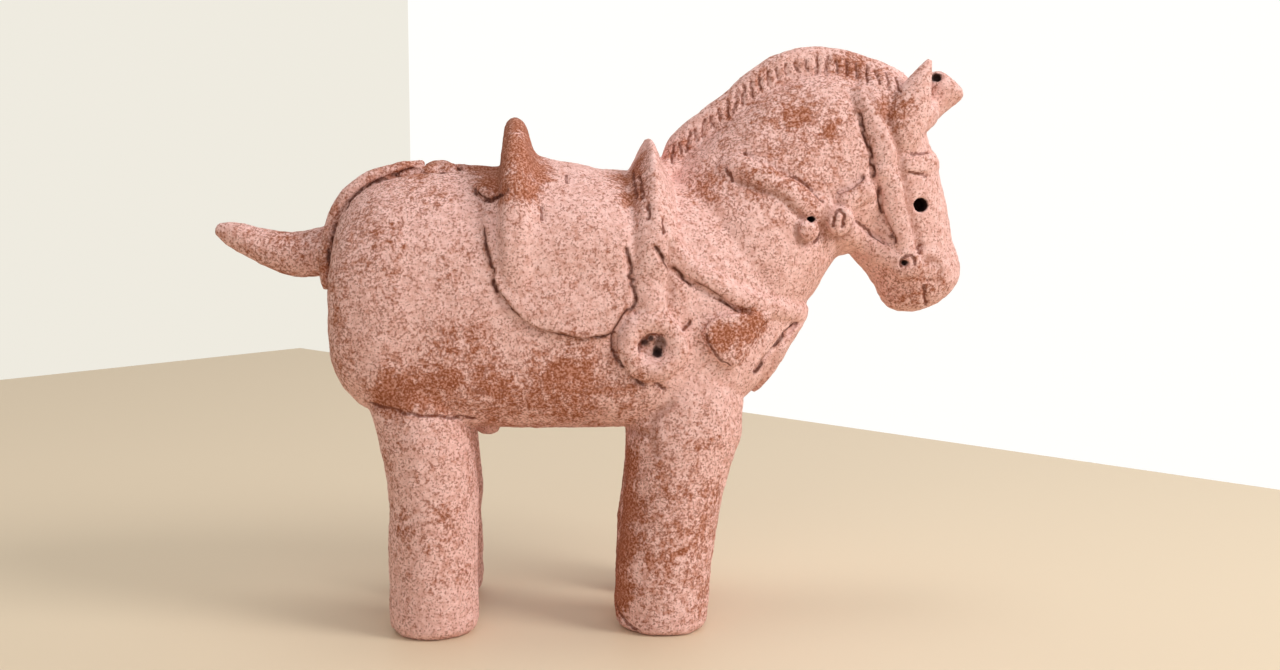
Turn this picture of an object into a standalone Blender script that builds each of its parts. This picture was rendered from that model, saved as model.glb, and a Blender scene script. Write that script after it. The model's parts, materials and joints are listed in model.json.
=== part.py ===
"""A hand-built clay horse in the haniwa manner, fired as one solid piece.

The form is built up as the maker built it: a barrel, neck, head, four thick legs and a tail,
then the saddle, straps, rings and pendants pressed on, and last the holes and strokes cut in.
"""
import math

import bmesh
import bpy
import numpy as np
from mathutils import Vector
from mathutils.bvhtree import BVHTree

# Driving dimensions, in metres
HEIGHT = 0.111
BODY_WIDTH = 0.045
LEG_TRACK = 0.0276
LEG_DIAMETER = 0.0166
SADDLE_RISE = 0.0010
STRAP_WIDTH = 0.0040
STRAP_RISE = 0.0013
STIRRUP_STRAP_WIDTH = 0.0060
STIRRUP_STRAP_RISE = 0.0014
STIRRUP_DIAMETER = 0.0136
STIRRUP_RISE = 0.0022
STIRRUP_HOLE_DIAMETER = 0.0044
STIRRUP_HOLE_DEPTH = 0.0025
CRUPPER_DIAMETER = 0.0028
BOSS_DIAMETER = 0.0070
BOSS_RISE = 0.0022
SMALL_BOSS_DIAMETER = 0.0044
SMALL_BOSS_RISE = 0.0016
BIT_DIAMETER = 0.0060
BIT_RISE = 0.0018
PENDANT_HEIGHT = 0.0100
PENDANT_WIDTH = 0.0112
PENDANT_RISE = 0.0014
KNOT_RISE = 0.0018
MANE_THICKNESS = 0.0058
MANE_STROKES = 13
MANE_STROKE_WIDTH = 0.0014
EYE_DIAMETER = 0.0030
EYE_DEPTH = 0.0055
PRICK_DIAMETER = 0.0017
PRICK_DEPTH = 0.0028
SLIT_WIDTH = 0.0006

# The clay form keeps its proportions, so its stations are in shares of the height
SHARE = HEIGHT / 111.0
HALF_BARREL = 22.5
WIDTH_FACTOR = BODY_WIDTH / (2.0 * HALF_BARREL * SHARE)

# Places in side view that a pressed-on piece shares with the hole through it
STIRRUP_X = 10.9 * SHARE
STIRRUP_Z = 55.3 * SHARE
BOSS_X = 47.1 * SHARE
BOSS_Z = 77.9 * SHARE
SMALL_BOSS_X = 40.9 * SHARE
SMALL_BOSS_Z = 75.8 * SHARE
BIT_X = 60.4 * SHARE
BIT_Z = 69.2 * SHARE

# How finely the joins are worked in, how many triangles stay, and what the soles lose
SOFTENING = 0.0005
TRIANGLES = 9500
SOLE_TRIM = 0.0003
HOLE_SIDES = 12

CLAY_COLOUR = (0.58, 0.33, 0.25, 1.0)


# Leg stations: height, place along the body, stoutness and spread
FRONT_LEG = [
    (0.0, 13.5, 0.94, 1.0), (0.9, 13.5, 1.05, 1.0), (8.0, 13.7, 1.09, 1.0), (17.0, 14.5, 1.11, 1.0),
    (25.0, 15.6, 1.13, 1.0), (32.0, 16.7, 1.21, 1.0), (38.0, 17.7, 1.32, 0.98),
    (45.0, 18.4, 1.26, 0.94), (52.0, 18.0, 1.02, 0.84),
]
FAR_FRONT_STEP = 1.6
REAR_LEG = [
    (0.0, -29.9, 0.90, 1.0), (0.9, -29.9, 1.0, 1.0), (8.0, -29.8, 1.02, 1.0),
    (17.0, -29.8, 1.02, 1.0), (25.0, -29.6, 1.0, 1.0), (32.0, -30.3, 1.02, 1.0),
    (38.0, -31.1, 1.08, 0.97), (44.0, -32.0, 1.16, 0.92), (52.0, -32.0, 1.05, 0.82),
]

# The crest of the mane in side view, from the withers to the poll
CREST_LINE = [
    (14.6, 89.6), (16.4, 93.8), (20.9, 97.6), (26.4, 102.1), (31.8, 106.5), (38.2, 110.2),
    (44.3, 111.0), (50.2, 110.4), (55.0, 108.9), (59.3, 107.2), (62.3, 105.4), (63.8, 102.8),
]


def clear_objects():
    for thing in list(bpy.data.objects):
        bpy.data.objects.remove(thing, do_unlink=True)


def new_collection(name):
    collection = bpy.data.collections.new(name)
    bpy.context.scene.collection.children.link(collection)
    return collection


def smooth_rows(rows, steps):
    """Rows of numbers, with a Catmull-Rom curve through them, steps to each span."""
    rows = np.array(rows, dtype=float)
    padded = np.vstack([2 * rows[0] - rows[1], rows, 2 * rows[-1] - rows[-2]])
    result = []
    for i in range(len(rows) - 1):
        before, start, end, after = padded[i:i + 4]
        for t in np.arange(steps) / steps:
            result.append(0.5 * (2 * start + (end - before) * t
                                 + (2 * before - 5 * start + 4 * end - after) * t ** 2
                                 + (3 * start - before - 3 * end + after) * t ** 3))
    result.append(rows[-1])
    return np.array(result)


def round_section(count, low_power, high_power, widest=0.5):
    """A closed outline from -1 to 1 across, and 0 to 1 upwards, spaced evenly along itself.

    The powers set how square its lower and upper halves are, and widest where it is widest.
    """
    angles = np.linspace(0.0, 2.0 * math.pi, 721)
    power = np.where(np.sin(angles) < 0, low_power, high_power)
    across = np.sign(np.cos(angles)) * np.abs(np.cos(angles)) ** (2.0 / power)
    rise = np.sign(np.sin(angles)) * np.abs(np.sin(angles)) ** (2.0 / power)
    upwards = np.where(rise < 0, widest * (1.0 + rise), widest + (1.0 - widest) * rise)
    steps = np.hypot(np.diff(across), np.diff(upwards) * 2.0)
    along = np.concatenate([[0.0], np.cumsum(steps)])
    places = np.linspace(0.0, along[-1], count, endpoint=False)
    return np.column_stack([np.interp(places, along, across), np.interp(places, along, upwards)])


def make_object(name, bm, collection):
    bmesh.ops.recalc_face_normals(bm, faces=bm.faces)
    if bm.calc_volume(signed=True) < 0.0:
        bmesh.ops.reverse_faces(bm, faces=bm.faces)
    mesh = bpy.data.meshes.new(name)
    bm.to_mesh(mesh)
    bm.free()
    piece = bpy.data.objects.new(name, mesh)
    collection.objects.link(piece)
    return piece


def loft(name, rings, collection):
    """A closed solid through rings of points, with a fan over each end."""
    bm = bmesh.new()
    rows = [[bm.verts.new(Vector(point)) for point in ring] for ring in rings]
    count = len(rows[0])
    for lower, upper in zip(rows, rows[1:]):
        for i in range(count):
            j = (i + 1) % count
            bm.faces.new((lower[i], lower[j], upper[j], upper[i]))
    for row in (rows[0], rows[-1]):
        centre = bm.verts.new(sum((vertex.co for vertex in row), Vector()) / count)
        for i in range(count):
            bm.faces.new((row[i], row[(i + 1) % count], centre))
    return make_object(name, bm, collection)


def barrel_rings(rise, steps):
    """Rings of the barrel, from the rump to the chest, raised all round by rise."""
    stations = [
        (-49.0, 56.5, 66.0, 7.0), (-48.5, 52.8, 71.5, 12.0), (-47.6, 49.2, 76.0, 15.0),
        (-46.0, 45.8, 80.0, 17.2), (-43.0, 42.6, 83.4, 19.0), (-38.5, 40.2, 86.1, 20.8),
        (-33.0, 38.9, 87.2, 21.8), (-24.0, 38.2, 87.4, 22.4), (-10.0, 38.0, 86.9, 22.5),
        (4.0, 38.0, 86.2, 22.4), (14.0, 38.0, 86.0, 21.9), (21.0, 38.6, 85.5, 21.0),
        (26.6, 40.6, 84.0, 19.6), (31.2, 44.6, 82.0, 17.6), (34.9, 49.4, 79.0, 15.4),
        (38.4, 54.4, 75.5, 12.4), (41.4, 58.4, 71.5, 8.4),
    ]
    section = round_section(32, 3.8, 2.3, 0.42)
    rings = []
    for x, low, high, half in smooth_rows(stations, steps):
        low_z = low * SHARE - rise
        high_z = high * SHARE + rise
        half_y = half * SHARE * WIDTH_FACTOR + rise
        rings.append([(x * SHARE, across * half_y, low_z + up * (high_z - low_z))
                      for across, up in section])
    return rings


def neck_rings():
    """The neck fans round the throat, so each ring runs from the throat line to the crest line."""
    stations = [
        (38.0, 50.0, 9.0, 80.0, 16.0), (42.0, 60.0, 15.5, 87.0, 17.0),
        (44.9, 64.6, 21.5, 92.6, 15.8), (46.8, 67.8, 28.5, 98.6, 14.2),
        (48.6, 69.8, 36.5, 103.8, 12.8), (51.0, 70.8, 44.0, 106.4, 11.9),
        (54.0, 71.5, 51.0, 106.0, 11.0), (57.5, 74.0, 57.0, 103.6, 10.0),
    ]
    section = round_section(28, 2.4, 1.9, 0.44)
    rings = []
    for front_x, front_z, back_x, back_z, half in smooth_rows(stations, 2):
        front = np.array((front_x, 0.0, front_z)) * SHARE
        back = np.array((back_x, 0.0, back_z)) * SHARE
        half_y = half * SHARE * WIDTH_FACTOR
        rings.append([front + (back - front) * up + np.array((0.0, across * half_y, 0.0))
                      for across, up in section])
    return rings


def head_rings():
    """Level rings of the head, which hangs straight down from the poll to a blunt muzzle."""
    stations = [
        (105.8, 53.5, 60.0, 3.6), (103.6, 50.0, 63.0, 6.6), (99.5, 47.2, 65.0, 8.8),
        (95.0, 46.2, 66.2, 9.7), (90.5, 46.0, 67.6, 10.1), (86.0, 46.2, 69.0, 10.1),
        (81.0, 46.6, 70.2, 9.8), (76.5, 48.0, 71.2, 9.4), (73.0, 50.0, 72.0, 9.1),
        (70.0, 52.2, 73.1, 8.9), (67.2, 54.9, 73.7, 8.6), (64.6, 56.6, 73.1, 8.0),
        (62.2, 57.8, 71.0, 7.0), (60.2, 59.4, 68.0, 5.2), (59.1, 61.4, 65.2, 2.6),
    ]
    section = round_section(26, 2.2, 2.2)
    rings = []
    for z, back, front, half in smooth_rows(stations, 1):
        half_y = half * SHARE * WIDTH_FACTOR
        rings.append([((back + (front - back) * up) * SHARE, across * half_y, z * SHARE)
                      for across, up in section])
    return rings


def leg_rings(stations, side, forward):
    """Level rings of a leg, from its height, place along the body, stoutness and spread."""
    section = round_section(20, 2.0, 2.0)
    radius = LEG_DIAMETER / 2.0
    rings = []
    for z, x, stoutness, outwards in smooth_rows(stations, 2):
        reach = radius * stoutness
        centre_y = side * (LEG_TRACK / 2.0 - (1.0 - outwards) * radius)
        rings.append([((x + forward) * SHARE + (2.0 * up - 1.0) * reach,
                       centre_y + across * radius * min(stoutness, 1.0), z * SHARE)
                      for across, up in section])
    return rings


def path_rings(points, radii, count):
    """Rings square to a path, for a tail, an ear or a forelock."""
    points = np.array(points, dtype=float)
    section = [(math.cos(a), math.sin(a)) for a in 2.0 * math.pi * np.arange(count) / count]
    rings = []
    for i, (point, reach) in enumerate(zip(points, radii)):
        ahead = points[min(i + 1, len(points) - 1)] - points[max(i - 1, 0)]
        ahead = Vector(ahead).normalized()
        upright = ahead.cross(Vector((0.0, 1.0, 0.0))).normalized()
        sideways = ahead.cross(upright)
        wide, deep = (reach, reach) if np.isscalar(reach) else reach
        rings.append([Vector(point) + upright * (wide * a) + sideways * (deep * b)
                      for a, b in section])
    return rings


def shared_path(rows, steps):
    """Splits smoothed rows of x, y, z and radius into points and radii, in metres."""
    table = smooth_rows(rows, steps) * SHARE
    return table[:, :3], list(table[:, 3])


class Surface:
    """The clay form as it stood before the straps were pressed on."""

    def __init__(self, pieces):
        depsgraph = bpy.context.evaluated_depsgraph_get()
        bm = bmesh.new()
        for piece in pieces:
            bm.from_mesh(piece.evaluated_get(depsgraph).to_mesh())
        self.tree = BVHTree.FromBMesh(bm)
        bm.free()

    def from_side(self, x, z, side):
        """The point met when coming in level from one side at x and z."""
        start = Vector((x, side * BODY_WIDTH, z))
        place, normal, _, _ = self.tree.ray_cast(start, Vector((0.0, -side, 0.0)))
        return place, normal

    def towards(self, point, heart):
        """The point met when coming in from outside, through a point, towards the heart."""
        inwards = (heart - point).normalized()
        place, normal, _, _ = self.tree.ray_cast(point - inwards * BODY_WIDTH, inwards)
        return place, normal


def strap(name, places, width, rise, collection):
    """A flat band of clay pressed on along places, which are pairs of point and normal."""
    section = [(1.0, -0.35), (0.92, 0.3), (0.66, 0.8), (0.24, 1.0), (-0.24, 1.0), (-0.66, 0.8),
               (-0.92, 0.3), (-1.0, -0.35), (-0.5, -1.0), (0.5, -1.0)]
    rings = []
    last = len(places) - 1
    for i, (point, normal) in enumerate(places):
        ahead = (places[min(i + 1, last)][0] - places[max(i - 1, 0)][0]).normalized()
        sideways = ahead.cross(normal).normalized()
        outwards = sideways.cross(ahead).normalized()
        narrowing = 0.72 if i in (0, last) else 1.0
        rings.append([point + sideways * (across * width * 0.5 * narrowing)
                      + outwards * (up * rise * narrowing) for across, up in section])
    return loft(name, rings, collection)


def flat_axes(normal):
    """Two directions square to a normal, the first as near the body's length as can be."""
    along = Vector((1.0, 0.0, 0.0))
    along = (along - normal * along.dot(normal)).normalized()
    return along, normal.cross(along)


def lump(name, place, normal, radii, collection):
    """A flattened ball of clay on the surface: reach along, reach across, and rise."""
    bm = bmesh.new()
    bmesh.ops.create_uvsphere(bm, u_segments=16, v_segments=8, radius=1.0)
    along, across = flat_axes(normal)
    for vertex in bm.verts:
        a, b, c = vertex.co
        flat = along * (a * radii[0]) + across * (b * radii[1])
        vertex.co = place + flat + normal * (c * radii[2])
    return make_object(name, bm, collection)


def ring_of_clay(name, place, normal, outer, hole, thickness, collection):
    """A coil bent into a ring and pressed flat against the side."""
    bm = bmesh.new()
    middle = (outer + hole) / 2.0
    coil = (outer - hole) / 2.0
    along, across = flat_axes(normal)
    turns = 28
    around = 8
    rows = []
    for i in range(turns):
        angle = 2.0 * math.pi * i / turns
        out = along * math.cos(angle) + across * math.sin(angle)
        row = []
        for j in range(around):
            slope = 2.0 * math.pi * j / around
            row.append(bm.verts.new(place + out * (middle + coil * math.cos(slope))
                                    + normal * (thickness * math.sin(slope))))
        rows.append(row)
    for i in range(turns):
        for j in range(around):
            bm.faces.new((rows[i][j], rows[(i + 1) % turns][j],
                          rows[(i + 1) % turns][(j + 1) % around], rows[i][(j + 1) % around]))
    return make_object(name, bm, collection)


def arch_plate(name, stations, centre_height, collection):
    """An upright plate across the back: each station is a place along, a rise and a reach."""
    section = round_section(40, 2.0, 2.2)
    rings = []
    for x, rise, reach in stations:
        half_y = reach * SHARE * WIDTH_FACTOR
        rings.append([(x * SHARE, across * half_y,
                       (centre_height + (2.0 * up - 1.0) * rise) * SHARE) for across, up in section])
    return loft(name, rings, collection)


def prism(name, outline, half_width, collection):
    """An outline in side view, carried right across."""
    rings = [[(x, y, z) for x, z in outline] for y in (-half_width, half_width)]
    return loft(name, rings, collection)


def rod(name, start, end, radius, sides, collection):
    """The reach of a skewer or tool, as a cutter from start to end."""
    axis = end - start
    bm = bmesh.new()
    bmesh.ops.create_cone(bm, cap_ends=True, segments=sides, radius1=radius, radius2=radius,
                          depth=axis.length)
    turn = axis.to_track_quat("Z", "Y").to_matrix().to_4x4()
    turn.translation = (start + end) / 2.0
    bm.transform(turn)
    return make_object(name, bm, collection)


def add_boolean(piece, operation, operand):
    modifier = piece.modifiers.new(operation.title(), "BOOLEAN")
    modifier.operation = operation
    modifier.solver = "EXACT"
    if isinstance(operand, bpy.types.Collection):
        modifier.operand_type = "COLLECTION"
        modifier.collection = operand
    else:
        modifier.object = operand
    return modifier


def evaluated_mesh(piece):
    """The form of a piece with its modifiers, as a plain mesh."""
    bpy.context.view_layer.update()
    depsgraph = bpy.context.evaluated_depsgraph_get()
    return bpy.data.meshes.new_from_object(piece.evaluated_get(depsgraph))


def applied_copy(piece, name, collection):
    """A plain mesh object with the form of a piece."""
    copy = bpy.data.objects.new(name, evaluated_mesh(piece))
    collection.objects.link(copy)
    return copy


def build_form(collection):
    """Barrel, neck, head and legs: the clay before anything is pressed on."""
    barrel = loft("barrel", barrel_rings(0.0, 2), collection)
    neck = loft("neck", neck_rings(), collection)
    head = loft("head", head_rings(), collection)
    legs = []
    for side, word in ((-1.0, "near"), (1.0, "far")):
        forward = FAR_FRONT_STEP if side > 0.0 else 0.0
        legs.append(loft("front_leg_" + word, leg_rings(FRONT_LEG, side, forward), collection))
        legs.append(loft("rear_leg_" + word, leg_rings(REAR_LEG, side, 0.0), collection))
    return [barrel, neck, head] + legs


def build_tail(collection):
    points, radii = shared_path([
        (-44.0, 0.0, 71.8, 5.4), (-50.0, 0.0, 71.5, 5.0), (-54.5, 0.0, 71.0, 4.5),
        (-59.5, 0.0, 71.7, 3.9), (-64.0, 0.0, 73.2, 3.2), (-68.0, 0.0, 74.9, 2.5),
        (-70.6, 0.0, 75.9, 1.4), (-71.3, 0.0, 76.2, 0.5)], 2)
    loft("tail", path_rings(points, radii, 14), collection)


def build_mane(collection):
    """The crest stands up from the neck as a thick fin from the withers to the poll."""
    rows = smooth_rows(CREST_LINE, 2) * SHARE
    half = MANE_THICKNESS / 2.0
    depth = 4.6 * SHARE
    section = round_section(12, 2.2, 2.6)
    rings = []
    for i, (x, z) in enumerate(rows):
        ahead = Vector(rows[min(i + 1, len(rows) - 1)] - rows[max(i - 1, 0)]).normalized()
        down = Vector((ahead.y, -ahead.x))
        rings.append([(x + down.x * 2.0 * depth * (1.0 - up), across * half,
                       z + down.y * 2.0 * depth * (1.0 - up)) for across, up in section])
    loft("mane", rings, collection)


def build_ears(collection):
    for side, word in ((-1.0, "near"), (1.0, "far")):
        rows = smooth_rows([
            (58.6, side * 7.4, 90.5, 3.4, 2.4), (60.4, side * 8.2, 94.8, 3.7, 2.6),
            (62.0, side * 8.2, 99.5, 3.1, 2.1), (63.9, side * 7.8, 104.3, 1.8, 1.4),
            (64.9, side * 7.5, 107.2, 0.9, 0.8), (65.2, side * 7.4, 108.3, 0.4, 0.4)], 2)
        rows[:, 1] *= WIDTH_FACTOR
        rows = rows * SHARE
        reaches = [(row[3], row[4]) for row in rows]
        loft("ear_" + word, path_rings(rows[:, :3], reaches, 12), collection)


def build_forelock(collection):
    points, radii = shared_path([
        (60.6, 0.0, 92.2, 3.4), (64.0, 0.0, 96.2, 3.2), (67.2, 0.0, 100.0, 3.3),
        (69.8, 0.0, 102.9, 3.8), (70.6, 0.0, 103.8, 3.7), (71.2, 0.0, 104.5, 2.9)], 1)
    loft("forelock", path_rings(points, radii, 16), collection)


def build_saddle(pressed, helpers):
    """Seat and flaps are the barrel's own form, raised and trimmed to the saddle's outline."""
    outline = smooth_rows([
        (-15.0, 92.0), (-18.6, 83.5), (-19.9, 76.7), (-18.3, 69.5), (-14.8, 62.2), (-8.0, 58.0),
        (-0.5, 56.7), (4.4, 57.8), (7.7, 63.0), (7.0, 68.7), (5.7, 75.0), (8.2, 83.0),
        (12.0, 92.0)], 3) * SHARE
    cloth = loft("raised_barrel", barrel_rings(SADDLE_RISE, 2), helpers)
    trim = prism("saddle_outline", outline, BODY_WIDTH, helpers)
    add_boolean(cloth, "INTERSECT", trim)
    applied_copy(cloth, "saddle", pressed)
    arch_plate("cantle", [
        (-18.0, 16.6, 21.9), (-16.9, 20.4, 22.6), (-16.1, 22.8, 23.0), (-15.0, 25.2, 23.3),
        (-13.9, 27.1, 23.5), (-13.1, 27.1, 23.5), (-12.0, 25.0, 23.3), (-10.6, 22.6, 23.0),
        (-9.2, 20.4, 22.9), (-7.0, 19.3, 22.8), (-4.6, 18.7, 22.8), (0.5, 17.6, 22.7),
        (5.0, 16.4, 22.4), (8.0, 15.2, 21.6)], 70.2, pressed)
    arch_plate("pommel", [
        (7.6, 16.2, 21.4), (8.9, 18.6, 22.4), (10.2, 21.0, 22.7), (11.3, 22.8, 22.8),
        (12.1, 23.3, 22.8), (12.9, 21.6, 22.7), (14.2, 18.6, 22.2), (15.8, 15.8, 20.9)],
        70.0, pressed)


def side_places(surface, rows, side, steps):
    """Places on the side of the form, from points in side view."""
    return [surface.from_side(x * SHARE, z * SHARE, side) for x, z in smooth_rows(rows, steps)]


def build_stirrups(surface, collection):
    for side, word in ((-1.0, "near"), (1.0, "far")):
        places = side_places(surface, [(9.8, 76.0), (10.6, 69.0), (10.9, 61.0), (10.9, 56.0)],
                             side, 2)
        strap("stirrup_strap_" + word, places, STIRRUP_STRAP_WIDTH, STIRRUP_STRAP_RISE, collection)
        place, normal = surface.from_side(STIRRUP_X, STIRRUP_Z, side)
        ring_of_clay("stirrup_" + word, place, normal, STIRRUP_DIAMETER / 2.0,
                     STIRRUP_HOLE_DIAMETER / 2.0, STIRRUP_RISE, collection)


def front_places(surface, rows, behind, steps):
    """Places round the chest or brow, met when coming in level towards the middle plane."""
    places = []
    for x, y, z in smooth_rows(rows, steps):
        point = Vector((x, y * WIDTH_FACTOR, z)) * SHARE
        heart = Vector((min(x, behind), 0.0, z)) * SHARE
        places.append(surface.towards(point, heart))
    return places


def leaf(name, place, normal, side, collection):
    """A leaf of clay hanging from the breast strap, broad above and pointed below."""
    down = Vector((0.0, 0.0, -1.0))
    down = (down - normal * down.dot(normal)).normalized()
    across = down.cross(normal) * side
    stations = [(-0.46, 0.42, 0.4), (-0.38, 0.80, 0.8), (-0.18, 1.0, 1.0), (0.06, 0.82, 1.0),
                (0.28, 0.52, 0.9), (0.44, 0.26, 0.7), (0.52, 0.10, 0.35)]
    rings = []
    for along, reach, rise in stations:
        centre = place + down * (along * PENDANT_HEIGHT)
        rings.append([centre + across * (math.cos(a) * reach * PENDANT_WIDTH / 2.0)
                      + normal * (math.sin(a) * rise * PENDANT_RISE)
                      for a in 2.0 * math.pi * np.arange(12) / 12])
    loft(name, rings, collection)


def build_breast_strap(surface, collection):
    half = [(11.0, -22.0, 76.0), (14.6, -21.4, 72.6), (18.0, -20.8, 69.6), (22.2, -19.8, 66.8),
            (26.6, -18.4, 64.2), (31.8, -16.0, 62.2), (36.6, -11.6, 60.6), (40.6, -6.0, 59.4)]
    rows = half + [(41.8, 0.0, 59.0)] + [(x, -y, z) for x, y, z in reversed(half)]
    strap("breast_strap", front_places(surface, rows, 20.0, 2), STRAP_WIDTH, STRAP_RISE,
          collection)
    for side, word in ((-1.0, "near"), (1.0, "far")):
        place, normal = surface.from_side(26.2 * SHARE, 55.6 * SHARE, side)
        leaf("pendant_" + word, place, normal, side, collection)
    place, normal = surface.towards(Vector((38.4, 0.0, 51.4)) * SHARE,
                                    Vector((25.0, 0.0, 60.0)) * SHARE)
    leaf("pendant_front", place, normal, 1.0, collection)


def build_crupper(surface, collection):
    """A coil down each side of the rump, a rough knot on the croup, and a strap to the saddle."""
    heart = Vector((-30.0, 0.0, 62.0)) * SHARE
    for side, word in ((-1.0, "near"), (1.0, "far")):
        rows = smooth_rows([
            (-30.0, side * 3.6, 87.0), (-36.5, side * 6.0, 87.0), (-42.2, side * 6.8, 85.4),
            (-45.4, side * 6.8, 83.2), (-47.8, side * 6.6, 80.4), (-49.6, side * 6.4, 76.6),
            (-50.8, side * 6.2, 72.0), (-51.0, side * 5.2, 67.6), (-51.0, side * 2.8, 65.0)], 2)
        rows[:, 1] *= WIDTH_FACTOR
        places = [surface.towards(Vector(row) * SHARE, heart) for row in rows]
        radius = CRUPPER_DIAMETER / 2.0
        points = [place + normal * radius * 0.75 for place, normal in places]
        radii = [radius * 0.75] + [radius] * (len(points) - 2) + [radius * 0.9]
        loft("crupper_coil_" + word, path_rings(points, radii, 8), collection)
        place, normal = surface.from_side(-18.6 * SHARE, 83.6 * SHARE, side)
        lump("saddle_tie_" + word, place, normal,
             (2.9 * SHARE, 3.4 * SHARE, SMALL_BOSS_RISE), collection)
    up = Vector((0.0, 0.0, 1.0))
    knot, _ = surface.towards(Vector((-28.2, 0.0, 87.0)) * SHARE, heart)
    lump("croup_knot", knot, up, (3.2 * SHARE, 4.6 * SHARE, KNOT_RISE), collection)
    places = []
    for x in np.arange(-30.0, -15.0, 3.0) * SHARE:
        above = Vector((x, 0.0, HEIGHT))
        place, _ = surface.towards(above, Vector((x, 0.0, 0.0)))
        places.append((place, up))
    strap("croup_strap", places, STIRRUP_STRAP_WIDTH, STRAP_RISE, collection)


def build_bridle(surface, collection):
    bands = [
        ("rein", [(24.7, 89.0), (29.6, 87.2), (35.6, 84.7), (41.6, 80.8), (46.0, 78.4)], 2),
        ("cheek_strap", [(51.2, 102.4), (52.6, 98.0), (54.2, 93.8), (55.6, 89.0), (56.5, 84.6),
                         (57.7, 80.0), (58.9, 75.6), (60.3, 71.0)], 1),
        ("throat_strap", [(47.4, 79.4), (50.4, 81.8), (54.6, 84.0)], 2),
        ("lower_rein", [(47.6, 77.2), (53.0, 73.2), (59.0, 69.8)], 2),
    ]
    rounds = [
        ("boss", BOSS_X, BOSS_Z, BOSS_DIAMETER, BOSS_RISE),
        ("small_boss", SMALL_BOSS_X, SMALL_BOSS_Z, SMALL_BOSS_DIAMETER, SMALL_BOSS_RISE),
        ("bit_ring", BIT_X, BIT_Z, BIT_DIAMETER, BIT_RISE),
    ]
    for side, word in ((-1.0, "near"), (1.0, "far")):
        for name, rows, steps in bands:
            places = side_places(surface, rows, side, steps)
            strap(name + "_" + word, places, STRAP_WIDTH, STRAP_RISE, collection)
        for name, x, z, diameter, rise in rounds:
            place, normal = surface.from_side(x, z, side)
            reach = diameter / 2.0
            lump(name + "_" + word, place, normal, (reach, reach, rise), collection)
    half = [(57.0, -9.8, 88.2), (62.3, -9.3, 88.3), (66.4, -5.8, 88.7)]
    rows = half + [(68.6, 0.0, 89.0)] + [(x, -y, z) for x, y, z in reversed(half)]
    strap("brow_band", front_places(surface, rows, 58.0, 2), STRAP_WIDTH, STRAP_RISE,
          collection)


def pricked_hole(name, surface, x, z, side, diameter, depth, collection):
    """A round hole pushed straight in from one side."""
    place, _ = surface.from_side(x, z, side)
    outside = place + Vector((0.0, side * depth, 0.0))
    inside = place - Vector((0.0, side * depth, 0.0))
    rod(name, outside, inside, diameter / 2.0, HOLE_SIDES, collection)


def cut_holes(surface, collection):
    for side, word in ((-1.0, "near"), (1.0, "far")):
        pricked_hole("eye_" + word, surface, 63.7 * SHARE, 80.5 * SHARE, side,
                     EYE_DIAMETER, EYE_DEPTH, collection)
        pricked_hole("stirrup_hole_" + word, surface, STIRRUP_X, STIRRUP_Z, side,
                     STIRRUP_HOLE_DIAMETER, STIRRUP_HOLE_DEPTH, collection)
        pricked_hole("bit_hole_" + word, surface, BIT_X, BIT_Z, side,
                     PRICK_DIAMETER, PRICK_DEPTH, collection)
        pricked_hole("rein_hole_" + word, surface, 41.3 * SHARE, 78.0 * SHARE, side,
                     PRICK_DIAMETER, PRICK_DEPTH, collection)
        pricked_hole("nostril_" + word, surface, 69.4 * SHARE, 66.4 * SHARE, side,
                     PRICK_DIAMETER, PRICK_DEPTH, collection)
    hole = Vector((68.4, 0.0, 104.6)) * SHARE
    outside = hole + Vector((0.0, -5.0 * SHARE, 0.0))
    rod("forelock_hole", outside, hole, PRICK_DIAMETER / 2.0, HOLE_SIDES, collection)


def cut_mouth(collection):
    """A thin slit across the end of the muzzle."""
    outline = [(65.2 * SHARE, 63.6 * SHARE), (65.8 * SHARE - SLIT_WIDTH, 58.0 * SHARE),
               (65.8 * SHARE + SLIT_WIDTH, 58.0 * SHARE)]
    prism("mouth", outline, 12.0 * SHARE, collection)


def cut_mane(collection):
    """Short strokes of a tool down both sides of the crest."""
    rows = smooth_rows(CREST_LINE, 4) * SHARE
    lengths = np.concatenate([[0.0], np.cumsum(np.linalg.norm(np.diff(rows, axis=0), axis=1))])
    for k in range(MANE_STROKES):
        here = lengths[-1] * (0.05 + 0.86 * k / (MANE_STROKES - 1))
        x = np.interp(here, lengths, rows[:, 0])
        z = np.interp(here, lengths, rows[:, 1])
        x_next = np.interp(here + SHARE, lengths, rows[:, 0])
        z_next = np.interp(here + SHARE, lengths, rows[:, 1])
        down = Vector((z_next - z, 0.0, x - x_next)).normalized()
        for side in (-1.0, 1.0):
            out = Vector((0.0, side * MANE_THICKNESS * 0.58, 0.0))
            start = Vector((x, 0.0, z)) + down * (0.9 * SHARE) + out * 0.80
            end = Vector((x, 0.0, z)) + down * (4.8 * SHARE) + out * 1.05
            rod("mane_stroke", start, end, MANE_STROKE_WIDTH / 2.0, HOLE_SIDES, collection)


def soften_joins(horse):
    """Works the joins into the clay, then keeps only the triangles that the form needs."""
    soften = horse.modifiers.new("Soften", "REMESH")
    soften.mode = "VOXEL"
    soften.voxel_size = SOFTENING
    horse.data = evaluated_mesh(horse)
    horse.modifiers.clear()
    triangles = sum(len(face.vertices) - 2 for face in horse.data.polygons)
    thin_out = horse.modifiers.new("Thin out", "DECIMATE")
    thin_out.ratio = TRIANGLES / triangles
    horse.data = evaluated_mesh(horse)
    horse.modifiers.clear()


def flatten_soles(horse, helpers):
    """Trims the soles level, as they were when the wet clay stood on the board."""
    low = min(vertex.co.z for vertex in horse.data.vertices)
    trim = low + SOLE_TRIM
    reach = HEIGHT
    board = loft("board", [[(x, y, z) for x, y in ((-reach, -reach), (reach, -reach),
                            (reach, reach), (-reach, reach))] for z in (low - reach, trim)], helpers)
    add_boolean(horse, "DIFFERENCE", board)
    horse.data = evaluated_mesh(horse)
    horse.modifiers.clear()


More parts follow.
